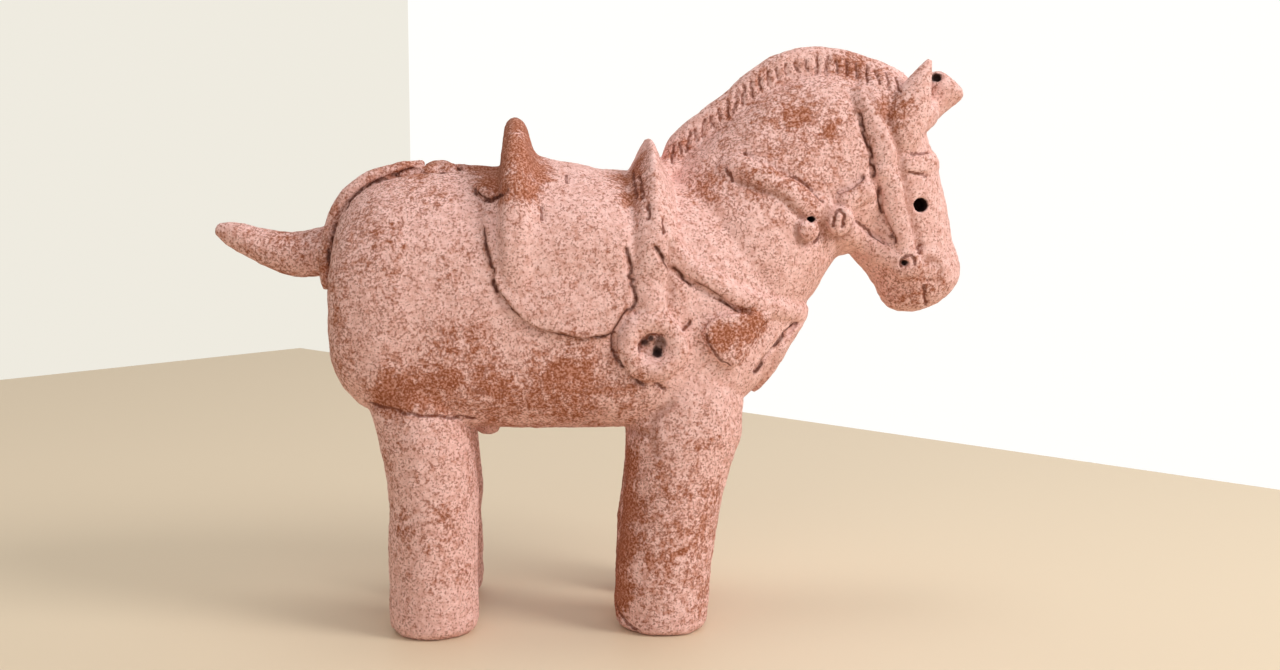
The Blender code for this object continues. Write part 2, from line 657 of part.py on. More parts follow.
def clay_material():
    material = bpy.data.materials.new("fired_clay")
    material.use_nodes = True
    shader = material.node_tree.nodes["Principled BSDF"]
    shader.inputs["Base Color"].default_value = CLAY_COLOUR
    shader.inputs["Roughness"].default_value = 0.92
    shader.inputs["Metallic"].default_value = 0.0
    material.diffuse_color = CLAY_COLOUR
    return material


def centre_on_soles(piece):
    """Moves the form so that the middle of its box, at the soles, is the origin."""
    places = np.array([vertex.co for vertex in piece.data.vertices])
    low, high = places.min(axis=0), places.max(axis=0)
    shift = Vector((-(low[0] + high[0]) / 2.0, -(low[1] + high[1]) / 2.0, -low[2]))
    for vertex in piece.data.vertices:
        vertex.co += shift


def build():
    clear_objects()
    finished = new_collection("haniwa_horse")
    form = new_collection("clay_form")
    pressed = new_collection("pressed_on")
    cutters = new_collection("cutters")
    helpers = new_collection("helpers")

    base = build_form(form)
    bpy.context.view_layer.update()
    surface = Surface(base)

    build_tail(pressed)
    build_mane(pressed)
    build_ears(pressed)
    build_forelock(pressed)
    build_saddle(pressed, helpers)
    build_stirrups(surface, pressed)
    build_breast_strap(surface, pressed)
    build_crupper(surface, pressed)
    build_bridle(surface, pressed)
    lump("belly_lump", Vector((-20.4, 0.0, 37.2)) * SHARE, Vector((0.0, 0.0, -1.0)),
         (1.9 * SHARE, 2.4 * SHARE, 1.8 * SHARE), pressed)
    for piece in base[1:]:
        form.objects.unlink(piece)
        pressed.objects.link(piece)

    cut_holes(surface, cutters)
    cut_mouth(cutters)
    cut_mane(cutters)

    barrel = base[0]
    add_boolean(barrel, "UNION", pressed)
    add_boolean(barrel, "DIFFERENCE", cutters)
    horse = applied_copy(barrel, "haniwa_horse", finished)
    soften_joins(horse)
    flatten_soles(horse, helpers)
    for collection in (form, pressed, helpers, cutters):
        for piece in list(collection.objects):
            bpy.data.objects.remove(piece, do_unlink=True)
        bpy.data.collections.remove(collection)

    centre_on_soles(horse)
    horse.data.shade_smooth()
    horse.data.set_sharp_from_angle(angle=math.radians(40.0))
    horse.data.materials.clear()
    horse.data.materials.append(clay_material())
    return horse


build()
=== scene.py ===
import json
import math

import bmesh
import bpy
import numpy as np
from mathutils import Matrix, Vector
from mathutils.bvhtree import BVHTree

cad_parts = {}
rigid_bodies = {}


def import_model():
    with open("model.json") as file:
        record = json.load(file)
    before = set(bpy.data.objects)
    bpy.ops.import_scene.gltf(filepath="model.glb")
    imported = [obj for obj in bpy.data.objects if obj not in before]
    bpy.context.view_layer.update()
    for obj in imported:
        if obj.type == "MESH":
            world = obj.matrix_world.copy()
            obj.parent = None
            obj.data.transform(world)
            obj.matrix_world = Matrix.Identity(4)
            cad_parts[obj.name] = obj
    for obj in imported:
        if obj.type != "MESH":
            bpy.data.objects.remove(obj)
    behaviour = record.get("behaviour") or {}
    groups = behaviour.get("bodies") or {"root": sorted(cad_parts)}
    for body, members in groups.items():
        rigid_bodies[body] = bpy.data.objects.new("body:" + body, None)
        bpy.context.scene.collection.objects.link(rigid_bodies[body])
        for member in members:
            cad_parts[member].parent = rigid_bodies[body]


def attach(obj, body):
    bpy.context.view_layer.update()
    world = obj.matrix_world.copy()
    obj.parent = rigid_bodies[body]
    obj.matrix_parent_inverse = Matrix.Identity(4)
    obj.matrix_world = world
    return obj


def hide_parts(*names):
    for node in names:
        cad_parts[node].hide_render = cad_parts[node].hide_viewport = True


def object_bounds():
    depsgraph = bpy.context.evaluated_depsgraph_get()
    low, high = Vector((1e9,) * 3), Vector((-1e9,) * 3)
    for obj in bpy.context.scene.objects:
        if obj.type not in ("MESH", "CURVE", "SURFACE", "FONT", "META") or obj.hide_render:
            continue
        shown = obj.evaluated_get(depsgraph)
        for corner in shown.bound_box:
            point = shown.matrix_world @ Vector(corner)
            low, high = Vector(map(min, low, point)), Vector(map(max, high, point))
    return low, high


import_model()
cad_low, cad_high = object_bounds()


# Camera, table and light. The horse stands near the corner of a plain pale table, in soft
# daylight from the front right, and is seen from its right side, slightly from above.
def in_scene(name, data):
    new = bpy.data.objects.new(name, data)
    bpy.context.scene.collection.objects.link(new)
    return new


camera_data = bpy.data.cameras.new("camera")
camera_data.lens = 45.0
camera_data.sensor_width = 36.0
camera_data.clip_start = 0.01
camera = in_scene("camera", camera_data)
camera.location = (-0.0127, -0.312, 0.0907)
camera.rotation_euler = (math.radians(83.4), 0.0, math.radians(-4.0))
bpy.context.scene.camera = camera

TABLE_CORNER = Vector((-0.118, 0.429, 0.0))
TABLE_SIDE = 1.25
TABLE_TURN = math.radians(42.7)


def plain_material(name, colour, roughness):
    material = bpy.data.materials.new(name)
    material.use_nodes = True
    shader = material.node_tree.nodes["Principled BSDF"]
    shader.inputs["Base Color"].default_value = (*colour, 1.0)
    shader.inputs["Roughness"].default_value = roughness
    return material


table_mesh = bpy.data.meshes.new("table")
along_left = Vector((-math.cos(TABLE_TURN), -math.sin(TABLE_TURN), 0.0)) * TABLE_SIDE
along_right = Vector((math.sin(TABLE_TURN), -math.cos(TABLE_TURN), 0.0)) * TABLE_SIDE
table_mesh.from_pydata([TABLE_CORNER, TABLE_CORNER + along_left,
                        TABLE_CORNER + along_left + along_right, TABLE_CORNER + along_right],
                       [], [(0, 1, 2, 3)])
table_mesh.materials.append(plain_material("pale_table", (0.745, 0.605, 0.435), 0.6))
table = in_scene("table", table_mesh)

world = bpy.data.worlds.new("daylight")
world.use_nodes = True
background = world.node_tree.nodes["Background"]
background.inputs["Color"].default_value = (0.96, 0.95, 0.93, 1.0)
background.inputs["Strength"].default_value = 0.37
bpy.context.scene.world = world
bpy.context.scene.view_settings.view_transform = "Standard"

# The two walls of the room's corner are glowing planes, painted light that stands in for lit walls
# and also lights the horse from behind: the right wall glows near white as if lit by the window,
# the left one dimmer as painted shade.
WALL_CORNER = (-0.118, 1.15)
for name, far_end, colour in (("wall_left", (-3.0, 0.10), (0.83, 0.80, 0.715)),
                              ("wall_right", (3.0, 0.70), (0.99, 0.985, 0.955))):
    wall_mesh = bpy.data.meshes.new(name)
    wall_mesh.from_pydata([(*WALL_CORNER, -0.6), (*far_end, -0.6), (*far_end, 1.6),
                           (*WALL_CORNER, 1.6)], [], [(0, 1, 2, 3)])
    wall_material = plain_material(name + "_paint", (0.04, 0.04, 0.04), 0.9)
    wall_shader = wall_material.node_tree.nodes["Principled BSDF"]
    wall_shader.inputs["Emission Color"].default_value = (*colour, 1.0)
    wall_shader.inputs["Emission Strength"].default_value = 1.0
    wall_mesh.materials.append(wall_material)
    wall = in_scene(name, wall_mesh)

HEART_OF_HORSE = Vector((0.0, 0.0, 0.055))
DAYLIGHT = (1.0, 0.99, 0.98)
for name, place, size, power in (("window_right", (0.52, -0.30, 0.48), 0.30, 3.1),
                                 ("window_front", (0.05, -0.75, 0.45), 0.70, 1.5),
                                 ("lamp_above", (0.03, 0.02, 0.90), 0.40, 1.3)):
    light_data = bpy.data.lights.new(name, "AREA")
    light_data.shape = "DISK"
    light_data.size = size
    light_data.energy = power
    light_data.color = DAYLIGHT
    light = in_scene(name, light_data)
    light.location = place
    light.rotation_euler = (HEART_OF_HORSE - light.location).to_track_quat("-Z", "Y").to_euler()


# The barrel, a fat roll of sandy clay bent flat below and narrowed to the chest. Everything
# else is worked onto it while the clay is wet, so the pieces are gathered here and joined later.
MM = 0.001
clay = bpy.data.collections.new("clay")
pressed_on = bpy.data.collections.new("pressed_on")
cut_away = bpy.data.collections.new("cut_away")
for collection in (clay, pressed_on, cut_away):
    bpy.context.scene.collection.children.link(collection)


def curve_through(rows, steps):
    """Rows of numbers, with a Catmull-Rom curve through them, steps to each span."""
    rows = np.array(rows, dtype=float)
    padded = np.vstack([2 * rows[0] - rows[1], rows, 2 * rows[-1] - rows[-2]])
    result = []
    for i in range(len(rows) - 1):
        before, start, end, after = padded[i:i + 4]
        for t in np.arange(steps) / steps:
            result.append(0.5 * (2 * start + (end - before) * t
                                 + (2 * before - 5 * start + 4 * end - after) * t ** 2
                                 + (3 * start - before - 3 * end + after) * t ** 3))
    result.append(rows[-1])
    return np.array(result)


def round_outline(count, low_power, high_power, widest=0.5):
    """A closed outline from -1 to 1 across and 0 to 1 upwards; the powers say how square it is."""
    angles = np.linspace(0.0, 2.0 * math.pi, 721)
    power = np.where(np.sin(angles) < 0, low_power, high_power)
    across = np.sign(np.cos(angles)) * np.abs(np.cos(angles)) ** (2.0 / power)
    rise = np.sign(np.sin(angles)) * np.abs(np.sin(angles)) ** (2.0 / power)
    upwards = np.where(rise < 0, widest * (1.0 + rise), widest + (1.0 - widest) * rise)
    lengths = np.hypot(np.diff(across), np.diff(upwards) * 2.0)
    along = np.concatenate([[0.0], np.cumsum(lengths)])
    places = np.linspace(0.0, along[-1], count, endpoint=False)
    return np.column_stack([np.interp(places, along, across), np.interp(places, along, upwards)])


def piece_of_clay(name, bm, collection):
    bmesh.ops.recalc_face_normals(bm, faces=bm.faces)
    if bm.calc_volume(signed=True) < 0.0:
        bmesh.ops.reverse_faces(bm, faces=bm.faces)
    mesh = bpy.data.meshes.new(name)
    bm.to_mesh(mesh)
    bm.free()
    piece = bpy.data.objects.new(name, mesh)
    collection.objects.link(piece)
    return piece


def rolled_form(name, rings, collection):
    """A closed solid through rings of points given in millimetres."""
    bm = bmesh.new()
    rows = [[bm.verts.new(Vector(point) * MM) for point in ring] for ring in rings]
    count = len(rows[0])
    for lower, upper in zip(rows, rows[1:]):
        for i in range(count):
            j = (i + 1) % count
            bm.faces.new((lower[i], lower[j], upper[j], upper[i]))
    for row in (rows[0], rows[-1]):
        centre = bm.verts.new(sum((vertex.co for vertex in row), Vector()) / count)
        for i in range(count):
            bm.faces.new((row[i], row[(i + 1) % count], centre))
    return piece_of_clay(name, bm, collection)


def barrel_rings(rise, steps):
    stations = [
        (-49.0, 56.5, 66.0, 8.2), (-48.6, 52.8, 71.8, 13.8), (-47.8, 49.2, 76.4, 16.8),
        (-46.2, 45.8, 80.5, 18.8), (-43.0, 42.6, 83.9, 20.2), (-38.5, 40.2, 86.3, 21.4),
        (-33.0, 38.9, 87.2, 21.8), (-24.0, 38.2, 87.4, 22.4), (-10.0, 38.0, 86.9, 22.5),
        (4.0, 38.0, 86.2, 22.4), (14.0, 38.0, 86.0, 21.9), (21.0, 38.6, 85.5, 21.0),
        (26.6, 40.6, 84.0, 19.6), (31.2, 44.6, 82.0, 17.6), (34.9, 49.4, 79.0, 15.4),
        (38.4, 54.4, 75.5, 12.4), (41.4, 58.4, 71.5, 8.4),
    ]
    section = round_outline(56, 3.8, 2.3, 0.42)
    return [[(x, across * (half + rise), low - rise + up * (high - low + 2.0 * rise))
             for across, up in section] for x, low, high, half in curve_through(stations, steps)]


barrel = rolled_form("barrel", barrel_rings(0.0, 3), clay)


# The neck fans round the throat up to the crest, and the head hangs straight down from it to a
# blunt muzzle. Both are of the barrel's clay, thumbed into it so that no join shows.
def neck_rings():
    stations = [
        (36.6, 50.0, 9.0, 80.0, 16.0), (42.0, 60.0, 15.5, 87.0, 17.0),
        (44.9, 64.6, 21.5, 92.6, 15.8), (46.8, 67.8, 28.5, 98.6, 14.2),
        (48.6, 69.8, 36.5, 103.8, 12.8), (51.0, 70.8, 44.0, 106.4, 11.9),
        (54.0, 71.5, 51.0, 106.0, 11.0), (57.5, 74.0, 57.0, 103.6, 10.0),
    ]
    section = round_outline(48, 2.4, 1.9, 0.44)
    rings = []
    for front_x, front_z, back_x, back_z, half in curve_through(stations, 4):
        rings.append([(front_x + (back_x - front_x) * up, across * half,
                       front_z + (back_z - front_z) * up) for across, up in section])
    return rings


def head_rings():
    stations = [
        (105.8, 53.5, 60.0, 3.6), (103.6, 50.0, 63.0, 6.6), (99.5, 47.2, 65.0, 8.8),
        (95.0, 46.2, 66.2, 9.7), (90.5, 46.0, 67.6, 10.1), (86.0, 46.2, 69.0, 10.1),
        (81.0, 46.6, 70.2, 9.8), (76.5, 48.0, 71.2, 9.4), (73.0, 50.0, 72.0, 9.1),
        (70.0, 52.2, 73.1, 8.9), (67.2, 54.9, 73.7, 8.6), (64.6, 56.6, 73.1, 8.0),
        (62.2, 57.8, 71.0, 7.0), (60.2, 59.4, 68.0, 5.2), (59.1, 61.4, 65.2, 2.6),
    ]
    section = round_outline(44, 2.2, 2.2)
    return [[(back + (front - back) * up, across * half, z) for across, up in section]
            for z, back, front, half in curve_through(stations, 3)]


neck = rolled_form("neck", neck_rings(), clay)
head = rolled_form("head", head_rings(), clay)


# Four legs, thick rolls of clay cut level, each pushed up into the barrel's underside. The
# front pair swells into the shoulder, and the far front foot stands a little further forward.
LEG_DIAMETER = 16.6
LEG_TRACK = 27.6
FRONT_LEG = [
    (0.0, 13.6, 0.86, 1.0), (0.7, 13.6, 0.98, 1.0), (2.0, 13.6, 1.05, 1.0),
    (8.0, 13.7, 1.09, 1.0), (17.0, 14.5, 1.11, 1.0),
    (25.0, 15.6, 1.13, 1.0), (32.0, 16.7, 1.21, 1.0), (38.0, 17.7, 1.32, 0.98),
    (45.0, 18.4, 1.26, 0.94), (52.0, 18.0, 1.02, 0.84),
]
REAR_LEG = [
    (0.0, -29.9, 0.82, 1.0), (0.7, -29.9, 0.93, 1.0), (2.0, -29.9, 1.0, 1.0),
    (8.0, -29.8, 1.02, 1.0),
    (17.0, -29.8, 1.02, 1.0), (25.0, -29.6, 1.0, 1.0), (32.0, -30.3, 1.02, 1.0),
    (38.0, -31.1, 1.08, 0.97), (44.0, -32.0, 1.16, 0.92), (52.0, -32.0, 1.05, 0.82),
]
FAR_FRONT_STEP = 1.6
SIDES = ((-1.0, "near"), (1.0, "far"))


def leg_rings(stations, side, forward):
    section = round_outline(36, 2.0, 2.0)
    radius = LEG_DIAMETER / 2.0
    rings = []
    for z, x, stoutness, outwards in curve_through(stations, 4):
        centre_y = side * (LEG_TRACK / 2.0 - (1.0 - outwards) * radius)
        rings.append([(x + forward + (2.0 * up - 1.0) * radius * stoutness,
                       centre_y + across * radius * min(stoutness, 1.0), z)
                      for across, up in section])
    return rings


legs = []
for side, word in SIDES:
    forward = FAR_FRONT_STEP if side > 0.0 else 0.0
    legs.append(rolled_form("front_leg_" + word, leg_rings(FRONT_LEG, side, forward), clay))
    legs.append(rolled_form("rear_leg_" + word, leg_rings(REAR_LEG, side, 0.0), clay))


OUTSIDE = 60.0


def gathered(objects):
    bm = bmesh.new()
    for piece in objects:
        bm.from_mesh(piece.data)
    return bm


class ClaySurface:
    """The clay as it stands, met from outside by what is pressed onto it or drawn in it."""

    def __init__(self, objects):
        bm = gathered(objects)
        self.tree = BVHTree.FromBMesh(bm)
        bm.free()

    def from_side(self, x, z, side):
        start = Vector((x, side * OUTSIDE, z)) * MM
        return self.tree.ray_cast(start, Vector((0.0, -side, 0.0)))[:2]

    def towards(self, point, heart):
        inwards = (Vector(heart) - Vector(point)).normalized()
        return self.tree.ray_cast((Vector(point) - inwards * OUTSIDE) * MM, inwards)[:2]

    def nearest(self, place):
        return self.tree.find_nearest(place)[0]


first_forms = [barrel, neck, head] + legs
form = ClaySurface(first_forms)


# The tail, a plain horn of clay rolled to a point and pushed onto the rump. It sags a little
# and turns up at its tip.
def rings_along(points, reaches, count):
    """Rings square to a path, each with its reach up and down and its reach sideways."""
    points = np.array(points, dtype=float)
    circle = [(math.cos(a), math.sin(a)) for a in 2.0 * math.pi * np.arange(count) / count]
    rings = []
    for i, (point, (tall, wide)) in enumerate(zip(points, reaches)):
        ahead = points[min(i + 1, len(points) - 1)] - points[max(i - 1, 0)]
        ahead = Vector(ahead).normalized()
        upright = ahead.cross(Vector((0.0, 1.0, 0.0))).normalized()
        sideways = ahead.cross(upright)
        rings.append([Vector(point) + upright * (tall * a) + sideways * (wide * b)
                      for a, b in circle])
    return rings


def horn(name, rows):
    """A round roll of clay down the horse's middle, from rows of x, z and its reach."""
    rolled_form(name, rings_along([(x, 0.0, z) for x, z, _ in rows],
                                  [(reach, reach) for _, _, reach in rows], 28), pressed_on)


tail_rows = curve_through([
    (-44.0, 71.8, 5.4), (-50.0, 71.5, 5.0), (-54.5, 71.0, 4.5), (-59.5, 71.7, 3.9),
    (-64.0, 73.2, 3.2), (-68.0, 74.9, 2.5), (-70.6, 75.9, 1.4), (-71.3, 76.2, 0.5)], 4)
horn("tail", tail_rows)


# The mane, a thick fin of clay set on the crest of the neck from withers to poll. Its short
# upright strokes are cut in later, when the whole horse is joined.
MANE_THICKNESS = 5.8
MANE_DEPTH = 9.2
CREST_LINE = [
    (14.6, 89.6), (16.4, 93.8), (20.9, 97.6), (26.4, 102.1), (31.8, 106.5), (38.2, 110.2),
    (44.3, 111.0), (50.2, 110.4), (55.0, 108.9), (59.3, 107.2), (62.3, 105.4), (63.8, 102.8),
]


def mane_rings():
    rows = curve_through(CREST_LINE, 4)
    section = round_outline(24, 2.2, 2.6)
    rings = []
    for i, (x, z) in enumerate(rows):
        ahead = Vector(rows[min(i + 1, len(rows) - 1)] - rows[max(i - 1, 0)]).normalized()
        rings.append([(x + ahead.y * MANE_DEPTH * (1.0 - up), across * MANE_THICKNESS / 2.0,
                       z - ahead.x * MANE_DEPTH * (1.0 - up)) for across, up in section])
    return rings


rolled_form("mane", mane_rings(), pressed_on)
WITHERS_FILL = ((11.5, 3.4), (13.0, 4.8), (15.0, 5.6), (18.0, 5.6), (21.0, 3.0))
rolled_form("withers_fill", [[(x, y * reach, 83.1 + z * reach * 1.1)
                              for y, z in round_outline(24, 2.0, 2.0)]
                             for x, reach in WITHERS_FILL], pressed_on)


# Two small pointed ears, pinched from pellets of clay, and between them the forelock, a short
# flared roll that points forward and up.
EAR_ROWS = [
    (58.2, 7.2, 90.5, 4.0, 2.6), (60.0, 8.2, 94.8, 4.2, 2.8), (61.6, 8.2, 99.5, 3.7, 2.3),
    (63.4, 7.8, 104.3, 2.2, 1.6), (64.7, 7.5, 107.2, 1.0, 0.9), (65.2, 7.4, 108.3, 0.4, 0.4)]
FAR_EAR_DROP = 1.9
for side, word in SIDES:
    drop = FAR_EAR_DROP if side > 0.0 else 0.0
    ear_rows = curve_through(EAR_ROWS, 4)
    rolled_form("ear_" + word,
                rings_along([(row[0] - drop, side * row[1], row[2] - drop) for row in ear_rows],
                            [(row[3], row[4]) for row in ear_rows], 24), pressed_on)
forelock_rows = curve_through([
    (60.6, 92.2, 3.4), (64.0, 96.2, 3.2), (67.2, 100.0, 3.3), (69.8, 102.9, 3.8),
    (70.6, 103.8, 3.7), (71.2, 104.5, 2.9)], 3)
for side, word in SIDES:
    rolled_form("ear_root_" + word,
                rings_along([(61.4, side * 7.6, 95.6), (63.0, side * 5.2, 97.0),
                             (64.6, side * 2.4, 97.8), (65.4, 0.0, 98.0)],
                            [(2.6, 3.0), (3.4, 4.0), (3.4, 4.0), (2.6, 3.0)], 24), pressed_on)
horn("forelock", forelock_rows)


# The saddle: a sheet of clay over the back that hangs down each side in a round flap, with an
# upright arched plate before and behind the seat.
SADDLE_RISE = 1.0


def side_board(name, outline, half_width, collection):
    """An outline in side view, carried right across."""
    return rolled_form(name, [[(x, y, z) for x, z in outline] for y in (-half_width, half_width)],
                       collection)


def join_or_cut(piece, operation, operand):
    modifier = piece.modifiers.new(operation.title(), "BOOLEAN")
    modifier.operation = operation
    modifier.solver = "EXACT"
    if isinstance(operand, bpy.types.Collection):
        modifier.operand_type = "COLLECTION"
        modifier.collection = operand
    else:
        modifier.object = operand


def evaluated_mesh(piece):
    bpy.context.view_layer.update()
    return bpy.data.meshes.new_from_object(
        piece.evaluated_get(bpy.context.evaluated_depsgraph_get()))


def arched_plate(name, stations, centre_z):
    section = round_outline(72, 2.0, 2.2)
    rings = [[(x, across * half, centre_z + (2.0 * up - 1.0) * rise) for across, up in section]
             for x, rise, half in curve_through(stations, 2)]
    return rolled_form(name, rings, pressed_on)


saddle_outline = curve_through([
    (-15.0, 92.0), (-18.6, 83.5), (-19.9, 76.7), (-18.3, 69.5), (-14.8, 62.2), (-8.0, 58.0),
    (-0.5, 56.7), (4.4, 57.8), (7.7, 63.0), (7.0, 68.7), (5.7, 75.0), (8.2, 83.0),
    (12.0, 92.0)], 4)
raised_barrel = rolled_form("raised_barrel", barrel_rings(SADDLE_RISE, 3), clay)
saddle_board = side_board("saddle_board", saddle_outline, 45.0, clay)
join_or_cut(raised_barrel, "INTERSECT", saddle_board)
saddle = bpy.data.objects.new("saddle", evaluated_mesh(raised_barrel))
pressed_on.objects.link(saddle)
for helper in (raised_barrel, saddle_board):
    bpy.data.objects.remove(helper, do_unlink=True)
arched_plate("cantle", [
    (-17.0, 16.6, 21.9), (-16.5, 20.4, 22.6), (-16.2, 22.8, 23.0), (-15.8, 25.2, 23.3),
    (-14.7, 26.9, 23.5), (-13.1, 26.9, 23.5), (-11.9, 25.4, 23.3), (-11.2, 23.0, 23.0),
    (-10.3, 20.4, 22.9), (-8.6, 19.3, 22.8), (-4.6, 18.6, 22.8), (0.5, 17.6, 22.7),
    (5.0, 16.4, 22.4), (8.0, 15.2, 21.6)], 70.2)
arched_plate("pommel", [
    (7.6, 16.2, 21.4), (8.9, 18.6, 22.4), (10.2, 21.0, 22.7), (11.3, 22.8, 22.8),
    (12.1, 23.3, 22.8), (12.9, 21.6, 22.7), (14.2, 18.6, 22.2), (15.8, 15.8, 20.9)], 70.0)


# Stirrups: on each side a flat strap comes down from the pommel and ends in a ring, coiled
# from a roll of clay and pressed flat. Straps and coils are all made by one set of nodes.
STIRRUP_PLACE = (10.9, 55.3)
STIRRUP_DIAMETER = 13.6
STIRRUP_HOLE_DIAMETER = 4.4
STIRRUP_RISE = 2.2


def node_group(name, sockets):
    """An empty Geometry Nodes group with named inputs after its geometry."""
    tree = bpy.data.node_groups.new(name, "GeometryNodeTree")
    tree.interface.new_socket("Geometry", in_out="INPUT", socket_type="NodeSocketGeometry")
    for socket_name, kind in sockets + [("Material", "Material")]:
        tree.interface.new_socket(socket_name, in_out="INPUT", socket_type="NodeSocket" + kind)
    tree.interface.new_socket("Geometry", in_out="OUTPUT", socket_type="NodeSocketGeometry")
    return tree, tree.nodes.new("NodeGroupInput").outputs


def node(tree, kind, given=(), **settings):
    """The outputs of a new node; what it is given is a number, or an output to link."""
    new = tree.nodes.new(kind)
    for key, value in settings.items():
        if key in new.inputs.keys():
            new.inputs[key].default_value = value
        else:
            setattr(new, key, value)
    for value, target in given:
        if isinstance(value, bpy.types.NodeSocket):
            tree.links.new(value, new.inputs[target])
        else:
            new.inputs[target].default_value = value
    return new.outputs


def maths(tree, operation, a, b=0.0):
    return node(tree, "ShaderNodeMath", [(a, 0), (b, 1)], operation=operation)[0]


def swing(tree, noise, reach):
    """A noise from 0 to 1, made to swing to either side of nothing."""
    return maths(tree, "MULTIPLY", maths(tree, "SUBTRACT", noise, 0.5), reach)


def eased(tree, value, low_in, high_in, low_out=0.0, high_out=1.0):
    return node(tree, "ShaderNodeMapRange", [
        (value, "Value"), (low_in, "From Min"), (high_in, "From Max"), (low_out, "To Min"),
        (high_out, "To Max")], interpolation_type="SMOOTHSTEP")[0]


def shape_of(tree, piece):
    return node(tree, "GeometryNodeObjectInfo", [(piece, "Object")],
                transform_space="RELATIVE")["Geometry"]


def moved_along(tree, geometry, direction, distance):
    offset = node(tree, "ShaderNodeVectorMath", [(direction, 0), (distance, "Scale")],
                  operation="SCALE")
    return node(tree, "GeometryNodeSetPosition", [(geometry, "Geometry"),
                                                  (offset[0], "Offset")])[0]


def finish_group(tree, given, geometry):
    """The end that every group has: one plain mesh, in its material."""
    whole = node(tree, "GeometryNodeRealizeInstances", [(geometry, "Geometry")])
    clayed = node(tree, "GeometryNodeSetMaterial", [(whole[0], "Geometry"),
                                                    (given["Material"], "Material")])
    tree.links.new(clayed[0], tree.nodes.new("NodeGroupOutput").inputs[0])
    return tree


raw_clay = plain_material("raw_clay", (0.6, 0.35, 0.27), 0.9)


def shaped_by(tree, piece, values):
    """The mesh that a group makes of a piece, with its inputs set by their identifiers."""
    modifier = piece.modifiers.new(tree.name, "NODES")
    modifier.node_group = tree
    values = {"Material": raw_clay, **values}
    for item in tree.interface.items_tree:
        if item.in_out == "INPUT" and item.name in values:
            modifier[item.identifier] = values[item.name]
    mesh = evaluated_mesh(piece)
    piece.modifiers.clear()
    return mesh


def make_strap_nodes():
    """A roll of clay laid along a line on the surface, pressed flat and thinned at its ends."""
    tree, given = node_group("pressed_roll", [
        ("Form", "Object"), ("Width", "Float"), ("Rise", "Float"), ("Lift", "Float"),
        ("End Size", "Float"), ("Unevenness", "Float")])
    line = node(tree, "GeometryNodeMeshToCurve", [(given["Geometry"], "Mesh")])
    normal = node(tree, "GeometryNodeInputNormal")
    outwards = node(tree, "GeometryNodeSampleNearestSurface",
                    [(shape_of(tree, given["Form"]), "Mesh"), (normal[0], "Value")],
                    data_type="FLOAT_VECTOR")
    lifted = moved_along(tree, line[0], outwards[0], given["Lift"])
    turned = node(tree, "GeometryNodeSetCurveNormal",
                  [(lifted, "Curve"), (outwards[0], "Normal")], mode="FREE")
    circle = node(tree, "GeometryNodeCurvePrimitiveCircle", Resolution=16, Radius=1.0)
    half_width = maths(tree, "MULTIPLY", given["Width"], 0.5)
    size = node(tree, "ShaderNodeCombineXYZ", [(given["Rise"], "X"), (half_width, "Y")])
    profile = node(tree, "GeometryNodeTransform", [(circle["Curve"], "Geometry"),
                                                   (size[0], "Scale")])
    place = node(tree, "GeometryNodeSplineParameter")
    from_middle = maths(tree, "ABSOLUTE", maths(tree, "SUBTRACT", place["Factor"], 0.5))
    taper = eased(tree, from_middle, 0.40, 0.50, 1.0, given["End Size"])
    noise = node(tree, "ShaderNodeTexNoise", noise_dimensions="4D", W=3.0, Scale=260.0,
                 Detail=1.0)
    scale = maths(tree, "ADD", taper, swing(tree, noise["Fac"], given["Unevenness"]))
    band = node(tree, "GeometryNodeCurveToMesh", [
        (turned[0], "Curve"), (profile[0], "Profile Curve"), (scale, "Scale"),
        (True, "Fill Caps")])
    return finish_group(tree, given, band[0])


strap_nodes = make_strap_nodes()
bm = gathered(first_forms)
bare_mesh = bpy.data.meshes.new("bare_form")
bm.to_mesh(bare_mesh)
bm.free()
bare_mesh.shade_smooth()
bare_form = bpy.data.objects.new("bare_form", bare_mesh)
clay.objects.link(bare_form)


def line_mesh(name, lines, closed=False):
    """Plain edges through each line of points."""
    points, edges = [], []
    for line in lines:
        first = len(points)
        points.extend(line)
        edges.extend((i, i + 1) for i in range(first, len(points) - 1))
        if closed:
            edges.append((len(points) - 1, first))
    mesh = bpy.data.meshes.new(name)
    mesh.from_pydata(points, edges, [])
    return mesh


def pressed_roll(name, points, width, rise, lift=0.0, end_size=0.72, unevenness=0.25,
                 closed=False):
    guide = bpy.data.objects.new(name + "_line", line_mesh(name, [points], closed))
    clay.objects.link(guide)
    mesh = shaped_by(strap_nodes, guide, {
        "Form": bare_form, "Width": width * MM, "Rise": rise * MM, "Lift": lift * MM,
        "End Size": end_size, "Unevenness": unevenness})
    bpy.data.objects.remove(guide, do_unlink=True)
    bm = bmesh.new()
    bm.from_mesh(mesh)
    return piece_of_clay(name, bm, pressed_on)


def side_line(rows, side, steps=5):
    return [form.from_side(x, z, side)[0] for x, z in curve_through(rows, steps)]


for side, word in SIDES:
    pressed_roll("stirrup_strap_" + word,
                 side_line([(9.8, 76.0), (10.6, 69.0), (10.9, 61.0), (10.9, 56.0)], side),
                 6.2, 1.5, unevenness=0.15)
    middle = (STIRRUP_DIAMETER + STIRRUP_HOLE_DIAMETER) / 4.0
    circle = [form.from_side(STIRRUP_PLACE[0] + middle * math.cos(a),
                             STIRRUP_PLACE[1] + middle * math.sin(a), side)[0]
              for a in 2.0 * math.pi * np.arange(36) / 36]
    pressed_roll("stirrup_ring_" + word, circle, (STIRRUP_DIAMETER - STIRRUP_HOLE_DIAMETER) / 2.0,
                 STIRRUP_RISE, end_size=1.0, closed=True)


# The breast strap runs round the chest from saddle to saddle, pressed on flat, and three
# leaves of clay hang under it: one on each side and one in front.
STRAP_WIDTH = 4.0
STRAP_RISE = 1.3
PENDANT_RISE = 1.7


